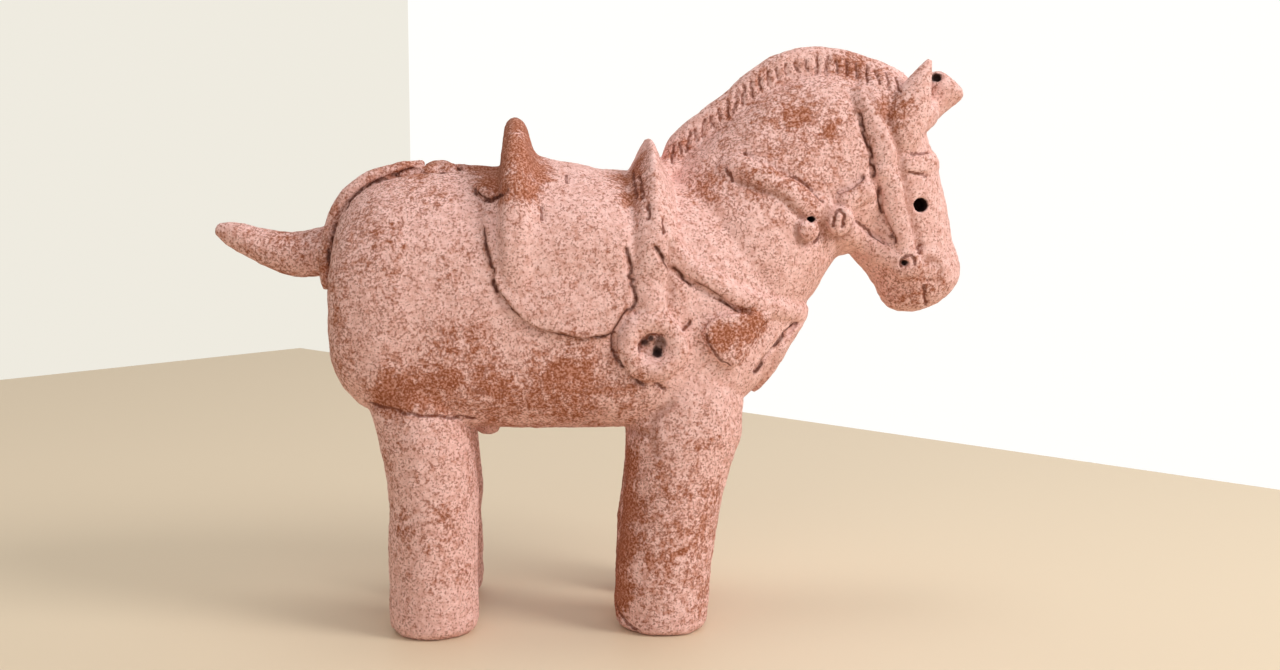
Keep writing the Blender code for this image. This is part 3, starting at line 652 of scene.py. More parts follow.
def round_the_front(half, middle, behind, steps=5):
    """A line round the front, from the rows of its near half and its middle."""
    rows = half + [middle] + [(x, -y, z) for x, y, z in reversed(half)]
    return [form.towards(point, (min(point[0], behind), 0.0, point[2]))[0]
            for point in curve_through(rows, steps)]


def flat_piece(name, edge, middle, outwards, rise):
    """A sheet of clay with its edge and middle on the form, pressed flat onto it."""
    rings = []
    for share, lift in ((0.94, -1.0), (1.06, 0.0), (1.06, 0.80), (0.98, 1.0), (0.75, 1.0),
                        (0.3, 1.0)):
        rings.append([middle.lerp(point, share) + outwards * (lift * rise) for point in edge])
    rolled_form(name, rings, pressed_on)


breast_half = [(11.0, -22.0, 76.0), (14.6, -21.4, 72.6), (18.0, -20.8, 69.6),
               (22.2, -19.8, 66.8), (26.6, -18.4, 64.2), (31.8, -16.0, 62.2),
               (36.6, -11.6, 60.6), (40.6, -6.0, 59.4)]
pressed_roll("breast_strap", round_the_front(breast_half, (41.8, 0.0, 59.0), 20.0), STRAP_WIDTH,
             STRAP_RISE)
PENDANT_OUTLINE = curve_through([
    (20.6, 57.4), (22.2, 59.8), (26.6, 60.6), (32.4, 60.4), (33.0, 59.2), (30.0, 55.8),
    (26.2, 51.2), (22.6, 53.4), (20.6, 57.4)], 4)[:-1]
FRONT_PENDANT_OUTLINE = curve_through([
    (-11.4, 57.4), (-6.0, 58.4), (0.0, 58.2), (2.4, 56.6), (0.6, 52.2), (-4.6, 46.8),
    (-7.0, 45.2), (-10.4, 48.2), (-13.0, 53.6), (-11.4, 57.4)], 4)[:-1]
for side, word in SIDES:
    flat_piece("pendant_" + word,
               [form.from_side(x, z, side)[0] / MM for x, z in PENDANT_OUTLINE],
               form.from_side(26.4, 56.6, side)[0] / MM, Vector((0.0, side, 0.0)), PENDANT_RISE)
flat_piece("pendant_front",
           [form.towards((60.0, y, z), (0.0, y, z))[0] / MM for y, z in FRONT_PENDANT_OUTLINE],
           form.towards((60.0, -5.0, 53.0), (0.0, -5.0, 53.0))[0] / MM,
           Vector((0.80, -0.30, -0.52)), 1.2)


# The crupper: a strap from the cantle, a rough knot of clay on the croup, and a rolled coil
# down each side of the rump that ends under the tail.
CRUPPER_DIAMETER = 2.5


def lump(name, place, normal, reaches, flatness=1.0):
    """A pellet pressed on: its reach along the body, across it and outwards; under 1 is flat."""
    bm = bmesh.new()
    bmesh.ops.create_uvsphere(bm, u_segments=28, v_segments=14, radius=1.0)
    along = Vector((1.0, 0.0, 0.0))
    along = (along - normal * along.dot(normal)).normalized()
    across = normal.cross(along)
    for vertex in bm.verts:
        a, b, c = vertex.co
        flat = along * (a * reaches[0]) + across * (b * reaches[1])
        rise = math.copysign(abs(c) ** flatness, c) * reaches[2]
        vertex.co = place + (flat + normal * rise) * MM
    return piece_of_clay(name, bm, pressed_on)


croup_heart = (-30.0, 0.0, 62.0)
crupper_creases = []
for side, word in SIDES:
    coil_rows = curve_through([
        (-31.6, side * 3.6, 86.8), (-36.5, side * 5.2, 87.0), (-42.2, side * 6.0, 85.4),
        (-45.4, side * 6.1, 83.2), (-47.8, side * 6.0, 80.4), (-49.6, side * 5.9, 76.6),
        (-50.8, side * 5.8, 72.0), (-51.0, side * 5.2, 67.6), (-51.0, side * 2.8, 65.0)], 5)
    pressed_roll("crupper_coil_" + word, [form.towards(row, croup_heart)[0] for row in coil_rows],
                 CRUPPER_DIAMETER, CRUPPER_DIAMETER / 2.0, lift=1.1, end_size=0.65)
    for outwards in (-1.6, 1.3):
        crupper_creases.append([form.towards((x, y + side * outwards, z), croup_heart)[0] / MM
                                for x, y, z in coil_rows[::4]])
    lump("saddle_tie_" + word, *form.from_side(-18.6, 83.6, side), (2.9, 3.4, 1.6))
UP = Vector((0.0, 0.0, 1.0))
for name, x, y, reaches in (
        ("croup_knot", -28.6, 0.4, (2.7, 4.2, 1.5)),
        ("knot_end", -26.8, -3.2, (1.8, 1.5, 1.3)),
        ("knot_side", -29.8, -3.4, (1.6, 1.3, 1.1)),
        ("croup_crumb", -23.6, -2.2, (1.3, 1.8, 0.9))):
    lump(name, form.towards((x, y, 87.0), croup_heart)[0], UP, reaches, 0.7)
croup_line = [form.towards((x, 0.0, 100.0), (x, 0.0, 0.0))[0]
              for x in np.arange(-30.0, -15.0, 1.0)]
pressed_roll("croup_strap", croup_line, 6.0, 0.8)


# The bridle: flat rolls of clay for rein, cheek, throat and brow, with round bosses pressed
# where they meet at the throat and a ring of clay at the bit.
BOSSES = [
    ("boss", 46.9, 77.9, 2.9, 2.9, 0.35),
    ("small_boss", 40.6, 76.0, 2.2, 2.0, 0.5),
    ("bit_ring", 61.0, 69.2, 3.0, 1.9, 0.6),
]
BRIDLE = [
    ("rein", 5.0, 1.3, [(24.7, 88.6), (29.6, 87.4), (33.8, 85.6), (38.0, 82.8), (41.8, 80.2),
                        (46.0, 78.6)]),
    ("cheek_strap", 5.0, 1.5, [(51.6, 102.6), (53.4, 98.6), (54.6, 94.6), (56.0, 90.0),
                               (57.0, 85.6), (58.2, 81.0), (59.4, 76.6), (60.9, 71.4)]),
    ("throat_strap", 4.6, 1.6, [(47.6, 80.6), (50.6, 82.4), (53.6, 84.2)]),
    ("lower_rein", 4.6, 1.4, [(47.6, 76.8), (52.4, 73.6), (56.4, 71.2), (59.6, 69.6)]),
]
for side, word in SIDES:
    for name, width, rise, rows in BRIDLE:
        pressed_roll(name + "_" + word, side_line(rows, side), width, rise)
    for name, x, z, reach, rise, flatness in BOSSES:
        lump(name + "_" + word, *form.from_side(x, z, side), (reach, reach, rise), flatness)
brow_half = [(57.0, -9.8, 88.2), (62.3, -9.3, 88.3), (66.4, -5.8, 88.7)]
pressed_roll("brow_band", round_the_front(brow_half, (68.6, 0.0, 89.0), 58.0), STRAP_WIDTH, 0.6)


# Holes pricked with a skewer: eyes, nostrils, stirrups, the bit, where the reins cross and
# through the forelock, and the mouth, one cut of a thin blade across the muzzle.
PRICK_DIAMETER = 1.7
SLIT_WIDTH = 0.35
SKEWER_PROUD = 3.0
# Each hole: name, x, z, diameter, depth from its mouth, how far the clay stands proud there and
# how dark the painted shade inside it is.
HOLES = [
    ("eye", 63.7, 80.5, 2.9, 5.5, 0.0, 1.0),
    ("stirrup", 11.0, 55.2, 3.8, 1.1, 2.2, 0.3),
    ("stirrup_tear", 12.4, 55.9, 2.0, 2.0, 2.2, 0.55),
    ("stirrup_slit", 11.9, 54.0, 1.2, 3.4, 2.2, 1.0),
    ("stirrup_edge", 9.6, 55.9, 0.9, 1.9, 2.2, 0.7),
    ("stirrup_rim", 10.7, 56.7, 0.8, 1.9, 2.2, 0.7),
    ("bit", 60.5, 69.4, 1.5, 3.6, 1.9, 0.55), ("bit_tear", 61.4, 70.0, 0.9, 3.0, 1.9, 0.7),
    ("rein", 41.4, 78.0, 1.5, 4.3, 1.3, 1.0), ("rein_tear", 42.3, 78.5, 0.8, 3.9, 1.3, 1.0),
    ("nostril", 65.5, 65.9, 0.9, 0.8, 0.0, 0.7), ("nostril_pit", 63.7, 65.6, 0.7, 0.7, 0.0, 0.7),
]
pricked = []


def prick(name, mouth, way_in, diameter, depth, darkness):
    """A hole pushed in from its mouth, kept in mind for the painted shade inside it."""
    axis = way_in * (depth + SKEWER_PROUD) * MM
    bm = bmesh.new()
    bmesh.ops.create_cone(bm, cap_ends=True, segments=20, radius1=diameter * MM / 2.0,
                          radius2=diameter * MM / 2.0, depth=axis.length)
    turn = axis.to_track_quat("Z", "Y").to_matrix().to_4x4()
    turn.translation = (mouth + way_in * (depth - SKEWER_PROUD) / 2.0) * MM
    bm.transform(turn)
    piece_of_clay(name, bm, cut_away)
    pricked.append((mouth, way_in, diameter, depth, darkness))


for side, word in SIDES:
    for name, x, z, diameter, depth, rise, darkness in HOLES:
        mouth = form.from_side(x, z, side)[0] / MM + Vector((0.0, side * rise, 0.0))
        prick(name + "_hole_" + word, mouth, Vector((0.0, -side, 0.0)), diameter, depth,
              darkness)
prick("forelock_hole", Vector((68.0, -3.6, 104.8)), Vector((0.0, 1.0, 0.0)), PRICK_DIAMETER,
      2.6, 0.8)
side_board("mouth", [(64.7, 64.4), (66.0 - SLIT_WIDTH, 58.0), (66.0 + SLIT_WIDTH, 58.0)], 12.0,
           cut_away)


# Joining: a last lump hangs under the belly, then every piece is worked into the barrel, the
# holes are cut, and the joins are thumbed soft so that the horse is one body of clay.
GRAIN_OF_WORK = 0.36
lump("belly_lump", Vector((-19.8, -3.0, 37.4)) * MM, -UP, (2.5, 2.6, 1.6), 0.7)
for piece in first_forms[1:]:
    clay.objects.unlink(piece)
    pressed_on.objects.link(piece)
join_or_cut(barrel, "UNION", pressed_on)
join_or_cut(barrel, "DIFFERENCE", cut_away)
joined = barrel.modifiers.new("Joined", "REMESH")
joined.mode = "VOXEL"
joined.voxel_size = GRAIN_OF_WORK * MM
softened = barrel.modifiers.new("Softened", "SMOOTH")
softened.factor = 0.5
softened.iterations = 2
horse = in_scene("clay_horse", evaluated_mesh(barrel))
for collection in (clay, pressed_on, cut_away):
    for piece in list(collection.objects):
        bpy.data.objects.remove(piece, do_unlink=True)
    bpy.data.collections.remove(collection)


# Tool lines: creases where straps and flaps were pressed down, and short strokes of a stick
# along the mane. Each is a thin line laid on the clay, and the clay is pushed in along it.
skin = ClaySurface([horse])


def line_on_side(rows, side, steps=6):
    """A line laid on the skin, from points given in side view."""
    met = [skin.from_side(x, z, side)[0] for x, z in curve_through(rows, steps)]
    return [place for place in met if place is not None]


DEEP_CREASES = [
    [(-19.9, 76.7), (-19.5, 74.7), (-18.5, 71.8), (-18.0, 68.3), (-17.1, 65.6), (-14.6, 62.1),
     (-10.5, 58.8), (-3.2, 56.9), (-0.5, 56.7), (3.9, 57.4)],
    [(6.1, 73.0), (6.6, 71.0), (7.0, 68.7), (7.6, 64.9), (7.6, 63.2), (5.4, 60.1), (3.9, 57.7)],
    [(3.9, 57.7), (3.9, 55.0), (4.6, 52.9), (5.9, 50.8), (7.9, 48.9), (9.4, 48.1)],
    [(11.5, 73.3), (13.2, 70.9), (17.0, 67.5), (20.9, 65.3), (23.9, 63.5), (26.8, 61.6),
     (29.0, 60.9)],
    [(51.4, 97.8), (51.9, 94.9), (53.3, 90.6), (53.8, 86.3)],
    [(55.0, 83.6), (55.9, 79.0), (56.9, 76.5), (58.3, 73.5)],
    [(47.2, 83.2), (48.2, 83.7), (49.8, 84.4), (51.6, 85.9)],
    [(-21.5, 83.6), (-20.4, 82.4), (-18.9, 81.9), (-17.2, 82.3), (-15.7, 83.8)],
    [(-33.0, 87.2), (-34.3, 86.9), (-38.0, 85.7), (-40.7, 84.5), (-43.8, 82.2), (-45.6, 79.5),
     (-47.3, 76.4), (-48.2, 73.6), (-48.7, 70.9), (-48.6, 68.4), (-48.7, 66.0)],
]
LIGHT_LINES = [
    [(8.7, 54.4), (8.9, 55.6), (9.7, 56.7), (11.0, 57.3), (12.4, 57.1)],
    [(42.9, 76.4), (43.2, 75.0), (42.3, 73.8)],
    [(-40.6, 44.4), (-36.0, 43.4), (-31.6, 42.7), (-26.0, 42.0), (-21.6, 41.4)],
    [(29.3, 90.4), (31.2, 89.3), (33.4, 88.6), (35.6, 87.3), (38.4, 85.9), (40.7, 84.3),
     (43.7, 81.5)],
    [(51.0, 77.5), (54.1, 75.1), (56.6, 73.4)],
    [(61.5, 90.2), (63.2, 90.4), (65.2, 90.7)],
    [(61.0, 86.6), (63.0, 86.3), (64.8, 86.2)],
    [(64.7, 64.6), (65.4, 62.6), (65.9, 60.7)],
    [(63.6, 72.6), (63.4, 71.3)],
    [(8.4, 86.8), (8.2, 84.7), (8.3, 82.5)],
    [(9.1, 86.2), (9.3, 84.4), (9.3, 82.4)],
    [(10.3, 81.0), (10.2, 78.7)],
    [(13.3, 78.2), (13.1, 76.0)],
    [(-8.9, 80.5), (-8.9, 78.7)],
    [(-4.3, 86.4), (-4.3, 85.0)],
    [(25.3, 87.7), (25.9, 86.5)],
    [(26.3, 86.6), (26.8, 85.2)],
    [(20.6, 57.2), (22.2, 53.9), (26.0, 50.9), (30.0, 55.4), (32.8, 58.8)],
    [(59.7, 68.9), (59.8, 70.2), (60.8, 70.9), (62.0, 70.5), (62.2, 69.3)],
    [(4.4, 7.0), (5.2, 3.6), (6.6, 1.6), (8.6, 0.6)],
    [(45.7, 76.8), (45.8, 79.0), (46.8, 79.9), (47.7, 78.8), (47.5, 76.7)],
    [(11.7, 48.2), (13.2, 47.1)],
    [(16.7, 58.4), (17.9, 59.5)],
]
SOFT_STEPS = [
    [(14.6, 44.2), (12.2, 42.4), (11.2, 40.4), (11.2, 38.0), (11.6, 34.8)],
    [(6.6, 38.8), (9.0, 38.4), (11.0, 38.4)],
    [(64.6, 69.9), (66.7, 69.5), (68.0, 67.9), (67.9, 66.0)],
    [(28.1, 85.2), (29.1, 84.7), (31.7, 83.6), (35.4, 82.4), (37.7, 80.4), (39.9, 78.3)],
    [(53.4, 102.4), (55.1, 98.9), (57.4, 94.9), (58.9, 90.6), (60.0, 85.6), (61.4, 79.6),
     (63.6, 72.4)],
    [(38.4, 76.6), (39.2, 74.4), (41.0, 73.6), (42.6, 74.6)],
    [(44.9, 80.2), (43.8, 77.9), (44.5, 75.5), (46.7, 74.5), (49.0, 75.3), (50.1, 77.5)],
    [(14.4, 74.0), (14.6, 68.0), (14.2, 63.0)],
]
KNOT_CREASE = [(-31.0, -5.6, 86.6), (-29.5, -5.8, 85.9), (-28.0, -6.0, 85.3), (-27.0, -5.8, 85.7)]
KNOT_CRACK = [(-24.6, -3.4, 87.9), (-24.6, -4.4, 86.8)]
GAP_BY_FRONT_PENDANT = [(39.2, -10.5, 57.7), (36.6, -13.4, 56.1), (33.5, -15.5, 52.5),
                        (30.7, -16.6, 49.6)]


def line_through(rows, steps=6):
    """A line laid on the nearest skin, from points in the round."""
    return [skin.nearest(Vector(row) * MM) for row in curve_through(rows, steps)]


def make_groove_nodes():
    """Pushes the clay in along lines and keeps how near each point is to them."""
    tree, given = node_group("tool_grooves", [
        ("Lines", "Object"), ("Width", "Float"), ("Depth", "Float"), ("Name", "String")])
    nearest = node(tree, "GeometryNodeProximity", [(shape_of(tree, given["Lines"]), 0)],
                   target_element="EDGES")
    share = maths(tree, "DIVIDE", nearest["Distance"], given["Width"])
    closeness = eased(tree, share, 0.0, 1.0, 1.0, 0.0)
    inwards = maths(tree, "MULTIPLY", maths(tree, "MULTIPLY", closeness, given["Depth"]), -1.0)
    normal = node(tree, "GeometryNodeInputNormal")
    pushed = moved_along(tree, given["Geometry"], normal[0], inwards)
    kept = node(tree, "GeometryNodeStoreNamedAttribute",
                [(pushed, "Geometry"), (given["Name"], "Name"), (closeness, "Value")],
                data_type="FLOAT", domain="POINT")
    return finish_group(tree, given, kept[0])


groove_nodes = make_groove_nodes()
LINE_KINDS = {
    "deep_crease": (DEEP_CREASES, 0.80, 0.60),
    "light_line": (LIGHT_LINES, 0.75, 0.45),
    "soft_step": (SOFT_STEPS, 1.50, 0.45),
}
line_sets = {}
for name, (rows_of_lines, _, _) in LINE_KINDS.items():
    lines = [line_on_side(rows, side) for rows in rows_of_lines for side in (-1.0, 1.0)]
    if name == "deep_crease":
        lines += [line_through(rows) for rows in crupper_creases
                  + [KNOT_CREASE, KNOT_CRACK, GAP_BY_FRONT_PENDANT]]
    line_sets[name] = in_scene(name, line_mesh(name, lines))


def groove(name, width, depth):
    horse.data = shaped_by(groove_nodes, horse, {
        "Lines": line_sets[name], "Width": width * MM, "Depth": depth * MM, "Name": name})


STROKE_POINTS = 8
STROKE_WIDTH, STROKE_DEPTH = 0.55, 0.45


def make_stroke_nodes():
    """Short upright strokes of a stick, scattered along a line and laid on the skin behind it."""
    tree, given = node_group("mane_strokes", [
        ("Skin", "Object"), ("Count", "Int"), ("Length", "Float"), ("Below Edge", "Float"),
        ("Lean", "Float"), ("Seed", "Int")])
    crest = node(tree, "GeometryNodeMeshToCurve", [(given["Geometry"], "Mesh")])
    spots = node(tree, "GeometryNodeCurveToPoints", [(crest[0], "Curve"),
                                                     (given["Count"], "Count")])
    stroke = node(tree, "GeometryNodeMeshLine", [
        ((0.0, 0.0, 0.5), "Start Location"),
        ((0.0, 0.0, -1.0 / (STROKE_POINTS - 1)), "Offset")], Count=STROKE_POINTS)
    back = maths(tree, "MULTIPLY", given["Lean"], -1.0)
    lean = node(tree, "FunctionNodeRandomValue", [
        (given["Seed"], "Seed"), (back, 2), (given["Lean"], 3)], data_type="FLOAT")
    size = node(tree, "FunctionNodeRandomValue", [
        (given["Seed"], "Seed"), (0.45, 2), (1.25, 3)], data_type="FLOAT")
    length = maths(tree, "MULTIPLY", size[1], given["Length"])
    turn = node(tree, "ShaderNodeCombineXYZ", [(lean[1], "Y")])
    stretch = node(tree, "ShaderNodeCombineXYZ", [(length, axis) for axis in "XYZ"])
    placed = node(tree, "GeometryNodeInstanceOnPoints", [
        (spots["Points"], "Points"), (stroke[0], "Instance"), (turn[0], "Rotation"),
        (stretch[0], "Scale")])
    whole = node(tree, "GeometryNodeRealizeInstances", [(placed[0], "Geometry")])
    lowered = moved_along(tree, whole[0], (0.0, 0.0, -1.0), given["Below Edge"])
    both = tree.nodes.new("GeometryNodeJoinGeometry")
    here = node(tree, "GeometryNodeInputPosition")
    for side in (-1.0, 1.0):
        away = node(tree, "ShaderNodeVectorMath", [
            (here[0], 0), ((0.0, side * OUTSIDE * MM, 0.0), 1)], operation="ADD")
        met = node(tree, "GeometryNodeRaycast", [
            (shape_of(tree, given["Skin"]), 0), (away[0], "Source Position"),
            ((0.0, -side, 0.0), "Ray Direction"), (0.2, "Ray Length")])
        laid = node(tree, "GeometryNodeSetPosition", [
            (lowered, "Geometry"), (met["Is Hit"], "Selection"),
            (met["Hit Position"], "Position")])
        tree.links.new(laid[0], both.inputs[0])
    return finish_group(tree, given, both.outputs[0])


crest_line = in_scene("crest_line", line_mesh("crest_line", [
    [Vector((x, 0.0, z)) * MM for x, z in curve_through(CREST_LINE[1:10], 6)]]))
strokes = shaped_by(make_stroke_nodes(), crest_line, {
    "Skin": horse, "Count": 26, "Length": 0.0034, "Below Edge": 0.0037, "Lean": 0.30, "Seed": 4})
line_sets["mane_stroke"] = in_scene("mane_stroke", strokes)
bpy.data.objects.remove(crest_line, do_unlink=True)
for name, (_, width, depth) in LINE_KINDS.items():
    groove(name, width, depth)
groove("mane_stroke", STROKE_WIDTH, STROKE_DEPTH)


# The worked skin of the clay: soft thumb dents, small lumps, and the sandy grit of the body,
# which stands out as the surface dries.
def make_skin_nodes():
    """Moves each point along its normal by three sizes of noise."""
    tree, given = node_group("worked_skin", [
        (word + measure, "Float") for word in ("Dent", "Lump", "Grit")
        for measure in (" Size", " Depth")])
    total = 0.0
    for seed, word in ((11.0, "Dent"), (23.0, "Lump"), (37.0, "Grit")):
        fineness = maths(tree, "DIVIDE", 1.0, given[word + " Size"])
        noise = node(tree, "ShaderNodeTexNoise", [(fineness, "Scale")],
                     noise_dimensions="4D", W=seed, Detail=2.0)
        height = swing(tree, noise["Fac"], given[word + " Depth"])
        total = maths(tree, "ADD", total, height)
    normal = node(tree, "GeometryNodeInputNormal")
    moved = moved_along(tree, given["Geometry"], normal[0], total)
    return finish_group(tree, given, moved)


horse.data = shaped_by(make_skin_nodes(), horse, {
    "Dent Size": 0.011, "Dent Depth": 0.0013, "Lump Size": 0.0034, "Lump Depth": 0.00060,
    "Grit Size": 0.0010, "Grit Depth": 0.00030})

MOST_TRIANGLES = 190000
fine_work = horse.vertex_groups.new(name="fine_work")
worked = np.zeros(len(horse.data.vertices))
nearness = np.empty(len(worked))
for name in ("deep_crease", "light_line", "mane_stroke"):
    horse.data.attributes[name].data.foreach_get("value", nearness)
    worked = np.maximum(worked, nearness)
NEAR_A_LINE = 0.02
fine_work.add([int(i) for i in np.nonzero(worked > NEAR_A_LINE)[0]], 1.0, "REPLACE")
triangles = sum(len(face.vertices) - 2 for face in horse.data.polygons)
thinned = horse.modifiers.new("Thinned", "DECIMATE")
thinned.ratio = min(1.0, MOST_TRIANGLES / triangles)
thinned.vertex_group = fine_work.name
thinned.invert_vertex_group = True
horse.data = evaluated_mesh(horse)
horse.modifiers.clear()
horse.vertex_groups.clear()
skin = ClaySurface([horse])
# Each line once more, with no depth, to keep how near each point is to it within a reach: the
# painted shade in the creases and strokes follows these values.
for name, reach in (("deep_crease", 1.5), ("light_line", 1.0), ("soft_step", 2.2),
                    ("mane_stroke", 1.0)):
    for vertex in line_sets[name].data.vertices:
        vertex.co = skin.nearest(vertex.co)
    groove(name, reach, 0.0)
    bpy.data.objects.remove(line_sets[name], do_unlink=True)


# The fired horse: sandy unglazed clay, pale salmon pink where the dust of the slip lies, with
# red-brown specks all over and redder patches where it has worn off. Shade in the tool lines and
# pricked holes is painted into the colour. It stands on flat soles.
places = np.empty(len(horse.data.vertices) * 3)
horse.data.vertices.foreach_get("co", places)
places = places.reshape(-1, 3)

# Each stain: x, y, z, reach and strength, in millimetres; the far side has the same.
STAINS = [
    (-36.0, -20.0, 47.0, 6.0, 1.1), (-28.0, -22.0, 48.0, 6.0, 0.9),
    (-17.0, -22.0, 46.0, 8.0, 0.9), (-4.0, -22.0, 48.0, 9.0, 1.0), (6.0, -22.0, 46.0, 6.0, 0.7),
    (-45.0, -12.0, 56.0, 9.0, 0.65), (-12.0, -20.0, 40.0, 18.0, 0.42),
    (-24.0, -22.0, 54.0, 9.0, 0.5), (-38.0, -18.0, 70.0, 6.0, 0.55),
    (-35.0, -14.0, 34.0, 6.0, 0.7), (-42.0, -14.0, 76.0, 8.0, 0.45),
    (39.9, -9.3, 97.6, 3.6, 1.0), (45.8, -10.7, 94.5, 2.6, 0.9), (22.6, -12.4, 84.0, 4.2, 0.9),
    (29.0, -8.0, 102.0, 5.0, 0.7), (52.0, -4.0, 106.5, 6.0, 0.6), (17.0, -5.0, 91.0, 3.0, 0.7),
    (23.8, -20.0, 57.0, 3.4, 1.7), (28.6, -18.0, 58.0, 3.6, 1.7), (26.2, -19.0, 54.2, 2.8, 1.7),
    (58.6, -8.5, 98.0, 4.5, 0.8), (-16.0, -4.0, 92.0, 7.5, 2.4), (-14.6, -12.0, 87.5, 6.5, 2.2),
    (-13.2, -18.0, 83.0, 4.2, 1.6), (8.6, -9.0, 86.5, 4.6, 1.2), (8.0, -16.0, 82.0, 3.5, 0.9),
    (3.6, -16.0, 8.0, 5.0, 2.3), (3.6, -16.0, 16.0, 5.0, 2.3), (4.2, -16.0, 24.0, 5.0, 2.2),
    (5.0, -16.0, 32.0, 5.0, 1.6), (-28.0, -2.0, 88.0, 6.0, 0.8), (62.5, -6.5, 64.0, 6.0, 0.5),
    (14.0, -20.0, 12.0, 3.0, 0.6), (36.0, -10.0, 94.0, 15.0, 0.50),
    (16.0, -18.0, 22.0, 17.0, 0.54), (-30.0, -18.0, 20.0, 16.0, 0.20),
    (-60.0, 0.0, 72.0, 12.0, 0.45), (-44.0, -8.0, 66.0, 14.0, 0.72),
    (-34.0, -10.0, 86.0, 9.0, 0.50),
]
STAIN_EDGE = 1.4
stain = np.zeros(len(places))
for x, y, z, reach, strength in STAINS:
    for side in (1.0, -1.0):
        distance = np.linalg.norm(places - np.array((x, side * y, z)) * MM, axis=1)
        share = np.clip(STAIN_EDGE - distance / (reach * MM), 0.0, 1.0)
        stain = np.maximum(stain, strength * share)
# Painted shade inside each pricked hole: dark colour from just below its lip to a little past its
# bottom, reaching a little into the walls.
SHADE_INTO_WALL, SHADE_BLUR = 0.55, 0.5
LIT_LIP, LIP_BLUR = 0.3, 0.9
SHADE_PAST_END = 1.5
painted_hole_shade = np.zeros(len(places))
for mouth, way_in, diameter, depth, darkness in pricked:
    offset = places / MM - np.array(mouth)
    inwards = offset @ np.array(way_in)
    across = np.linalg.norm(offset - np.outer(inwards, way_in), axis=1)
    inside = np.clip((diameter / 2.0 + SHADE_INTO_WALL - across) / SHADE_BLUR, 0.0, 1.0)
    inside *= np.clip((inwards - LIT_LIP) / LIP_BLUR, 0.0, 1.0)
    inside *= inwards < depth + SHADE_PAST_END
    painted_hole_shade = np.maximum(painted_hole_shade, inside * darkness)
for name, values in (("stain", stain), ("hole", painted_hole_shade)):
    kept = horse.data.attributes.new(name, "FLOAT", "POINT")
    kept.data.foreach_set("value", values)

low, high = places.min(axis=0), places.max(axis=0)
SOLE_TRIM = 0.30 * MM
low[2] += SOLE_TRIM
places[:, 2] = np.maximum(places[:, 2], low[2])
box_low, box_high = np.array(cad_low), np.array(cad_high)
shrink = np.minimum((box_high - box_low) / (high - low), 1.0)
middle = (low + high) / 2.0
places = (places - middle) * shrink + (box_low + box_high) / 2.0
places[:, 2] = np.maximum(places[:, 2], box_low[2])
horse.data.vertices.foreach_set("co", places.ravel())
horse.data.update()

PALE_DUST = (0.89, 0.585, 0.54, 1.0)
ROSY_DUST = (0.71, 0.395, 0.338, 1.0)
RED_SPECK = (0.34, 0.132, 0.086, 1.0)
BARE_CLAY = (0.47, 0.165, 0.082, 1.0)
BARE_SHADE = (0.27, 0.076, 0.034, 1.0)
# Painted shade in the tool lines and holes, darker colour where shade falls in the creases,
# strokes and pits: what it follows, where it starts and is full, its strength and its colour.
PAINTED_SHADES = [
    ("soft_step", 0.30, 1.00, 0.45, (0.30, 0.12, 0.075, 1.0)),
    ("mane_stroke", 0.66, 0.96, 0.90, (0.19, 0.056, 0.032, 1.0)),
    ("light_line", 0.55, 0.90, 0.90, (0.17, 0.046, 0.026, 1.0)),
    ("deep_crease", 0.45, 0.85, 0.55, (0.30, 0.11, 0.07, 1.0)),
    ("deep_crease", 0.80, 0.95, 0.94, (0.085, 0.022, 0.013, 1.0)),
    ("hole", 0.10, 0.80, 0.97, (0.022, 0.008, 0.007, 1.0)),
]


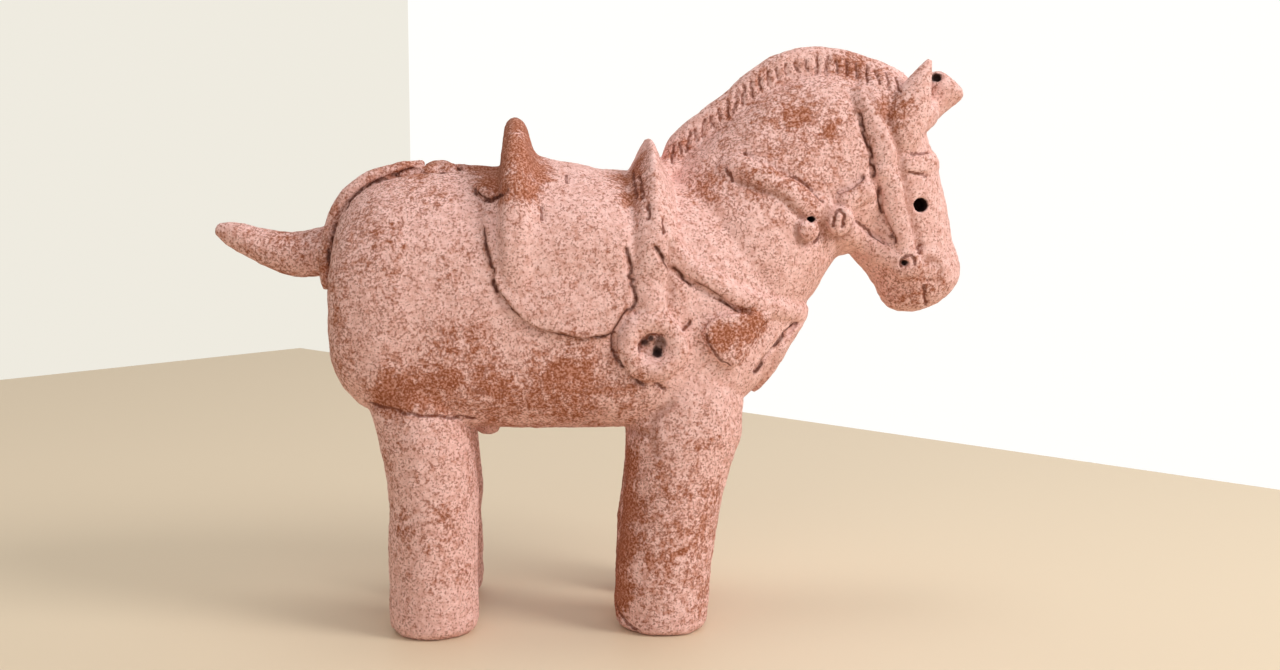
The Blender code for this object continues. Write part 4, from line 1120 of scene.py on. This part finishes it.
def clay_material():
    material = bpy.data.materials.new("fired_clay")
    material.use_nodes = True
    tree = material.node_tree
    shader = tree.nodes["Principled BSDF"]
    shader.inputs["Roughness"].default_value = 0.93
    shader.inputs["Specular IOR Level"].default_value = 0.25
    where = node(tree, "ShaderNodeTexCoord")["Object"]

    def noise(scale, detail, roughness):
        return node(tree, "ShaderNodeTexNoise", [
            (where, "Vector"), (roughness, "Roughness")], Scale=scale, Detail=detail)["Fac"]

    def mix(factor, a, b):
        return node(tree, "ShaderNodeMix", [(factor, "Factor"), (a, 6), (b, 7)],
                    data_type="RGBA")[2]

    def attribute(name):
        return node(tree, "ShaderNodeAttribute", attribute_name=name)["Fac"]

    fine = noise(2300.0, 2.0, 0.6)
    mottle = noise(900.0, 3.0, 0.65)
    blotch = noise(230.0, 5.0, 0.7)
    broad = noise(55.0, 3.0, 0.5)
    patch = attribute("stain")
    wear = patch
    for pattern, reach in ((broad, 0.9), (blotch, 2.6), (mottle, 2.2)):
        wear = maths(tree, "ADD", wear, swing(tree, pattern, reach))
    worn = maths(tree, "MULTIPLY", eased(tree, wear, 0.16, 1.05),
                 eased(tree, fine, 0.40, 0.60, 0.66, 0.98))
    speck_level = maths(tree, "ADD", fine, maths(tree, "MULTIPLY", patch, 0.11))
    speck_level = maths(tree, "ADD", speck_level, swing(tree, blotch, 0.24))
    specks = maths(tree, "MULTIPLY", eased(tree, speck_level, 0.50, 0.66), 0.82)
    dust = mix(eased(tree, mottle, 0.34, 0.66), PALE_DUST, ROSY_DUST)
    bare = mix(eased(tree, fine, 0.38, 0.62), BARE_CLAY, BARE_SHADE)
    body = mix(worn, mix(specks, dust, RED_SPECK), bare)
    broken = eased(tree, mottle, 0.34, 0.60, 0.72, 1.0)
    # Painted shade along the tool lines and in the holes: each darkens the colour near it, and the
    # mottle breaks it up except inside the holes.
    for name, low_edge, high_edge, strength, colour in PAINTED_SHADES:
        near = eased(tree, attribute(name), low_edge, high_edge)
        near = maths(tree, "MULTIPLY", near, strength)
        if name != "hole":
            near = maths(tree, "MULTIPLY", near, broken)
        body = mix(near, body, colour)
    tree.links.new(body, shader.inputs["Base Color"])
    grit = node(tree, "ShaderNodeBump", [(fine, "Height")], Strength=0.60, Distance=0.00020)
    tree.links.new(grit["Normal"], shader.inputs["Normal"])
    return material


horse.data.materials.clear()
horse.data.materials.append(clay_material())
horse.data.shade_smooth()
bpy.data.materials.remove(raw_clay)
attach(horse, "root")
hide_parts("haniwa_horse")
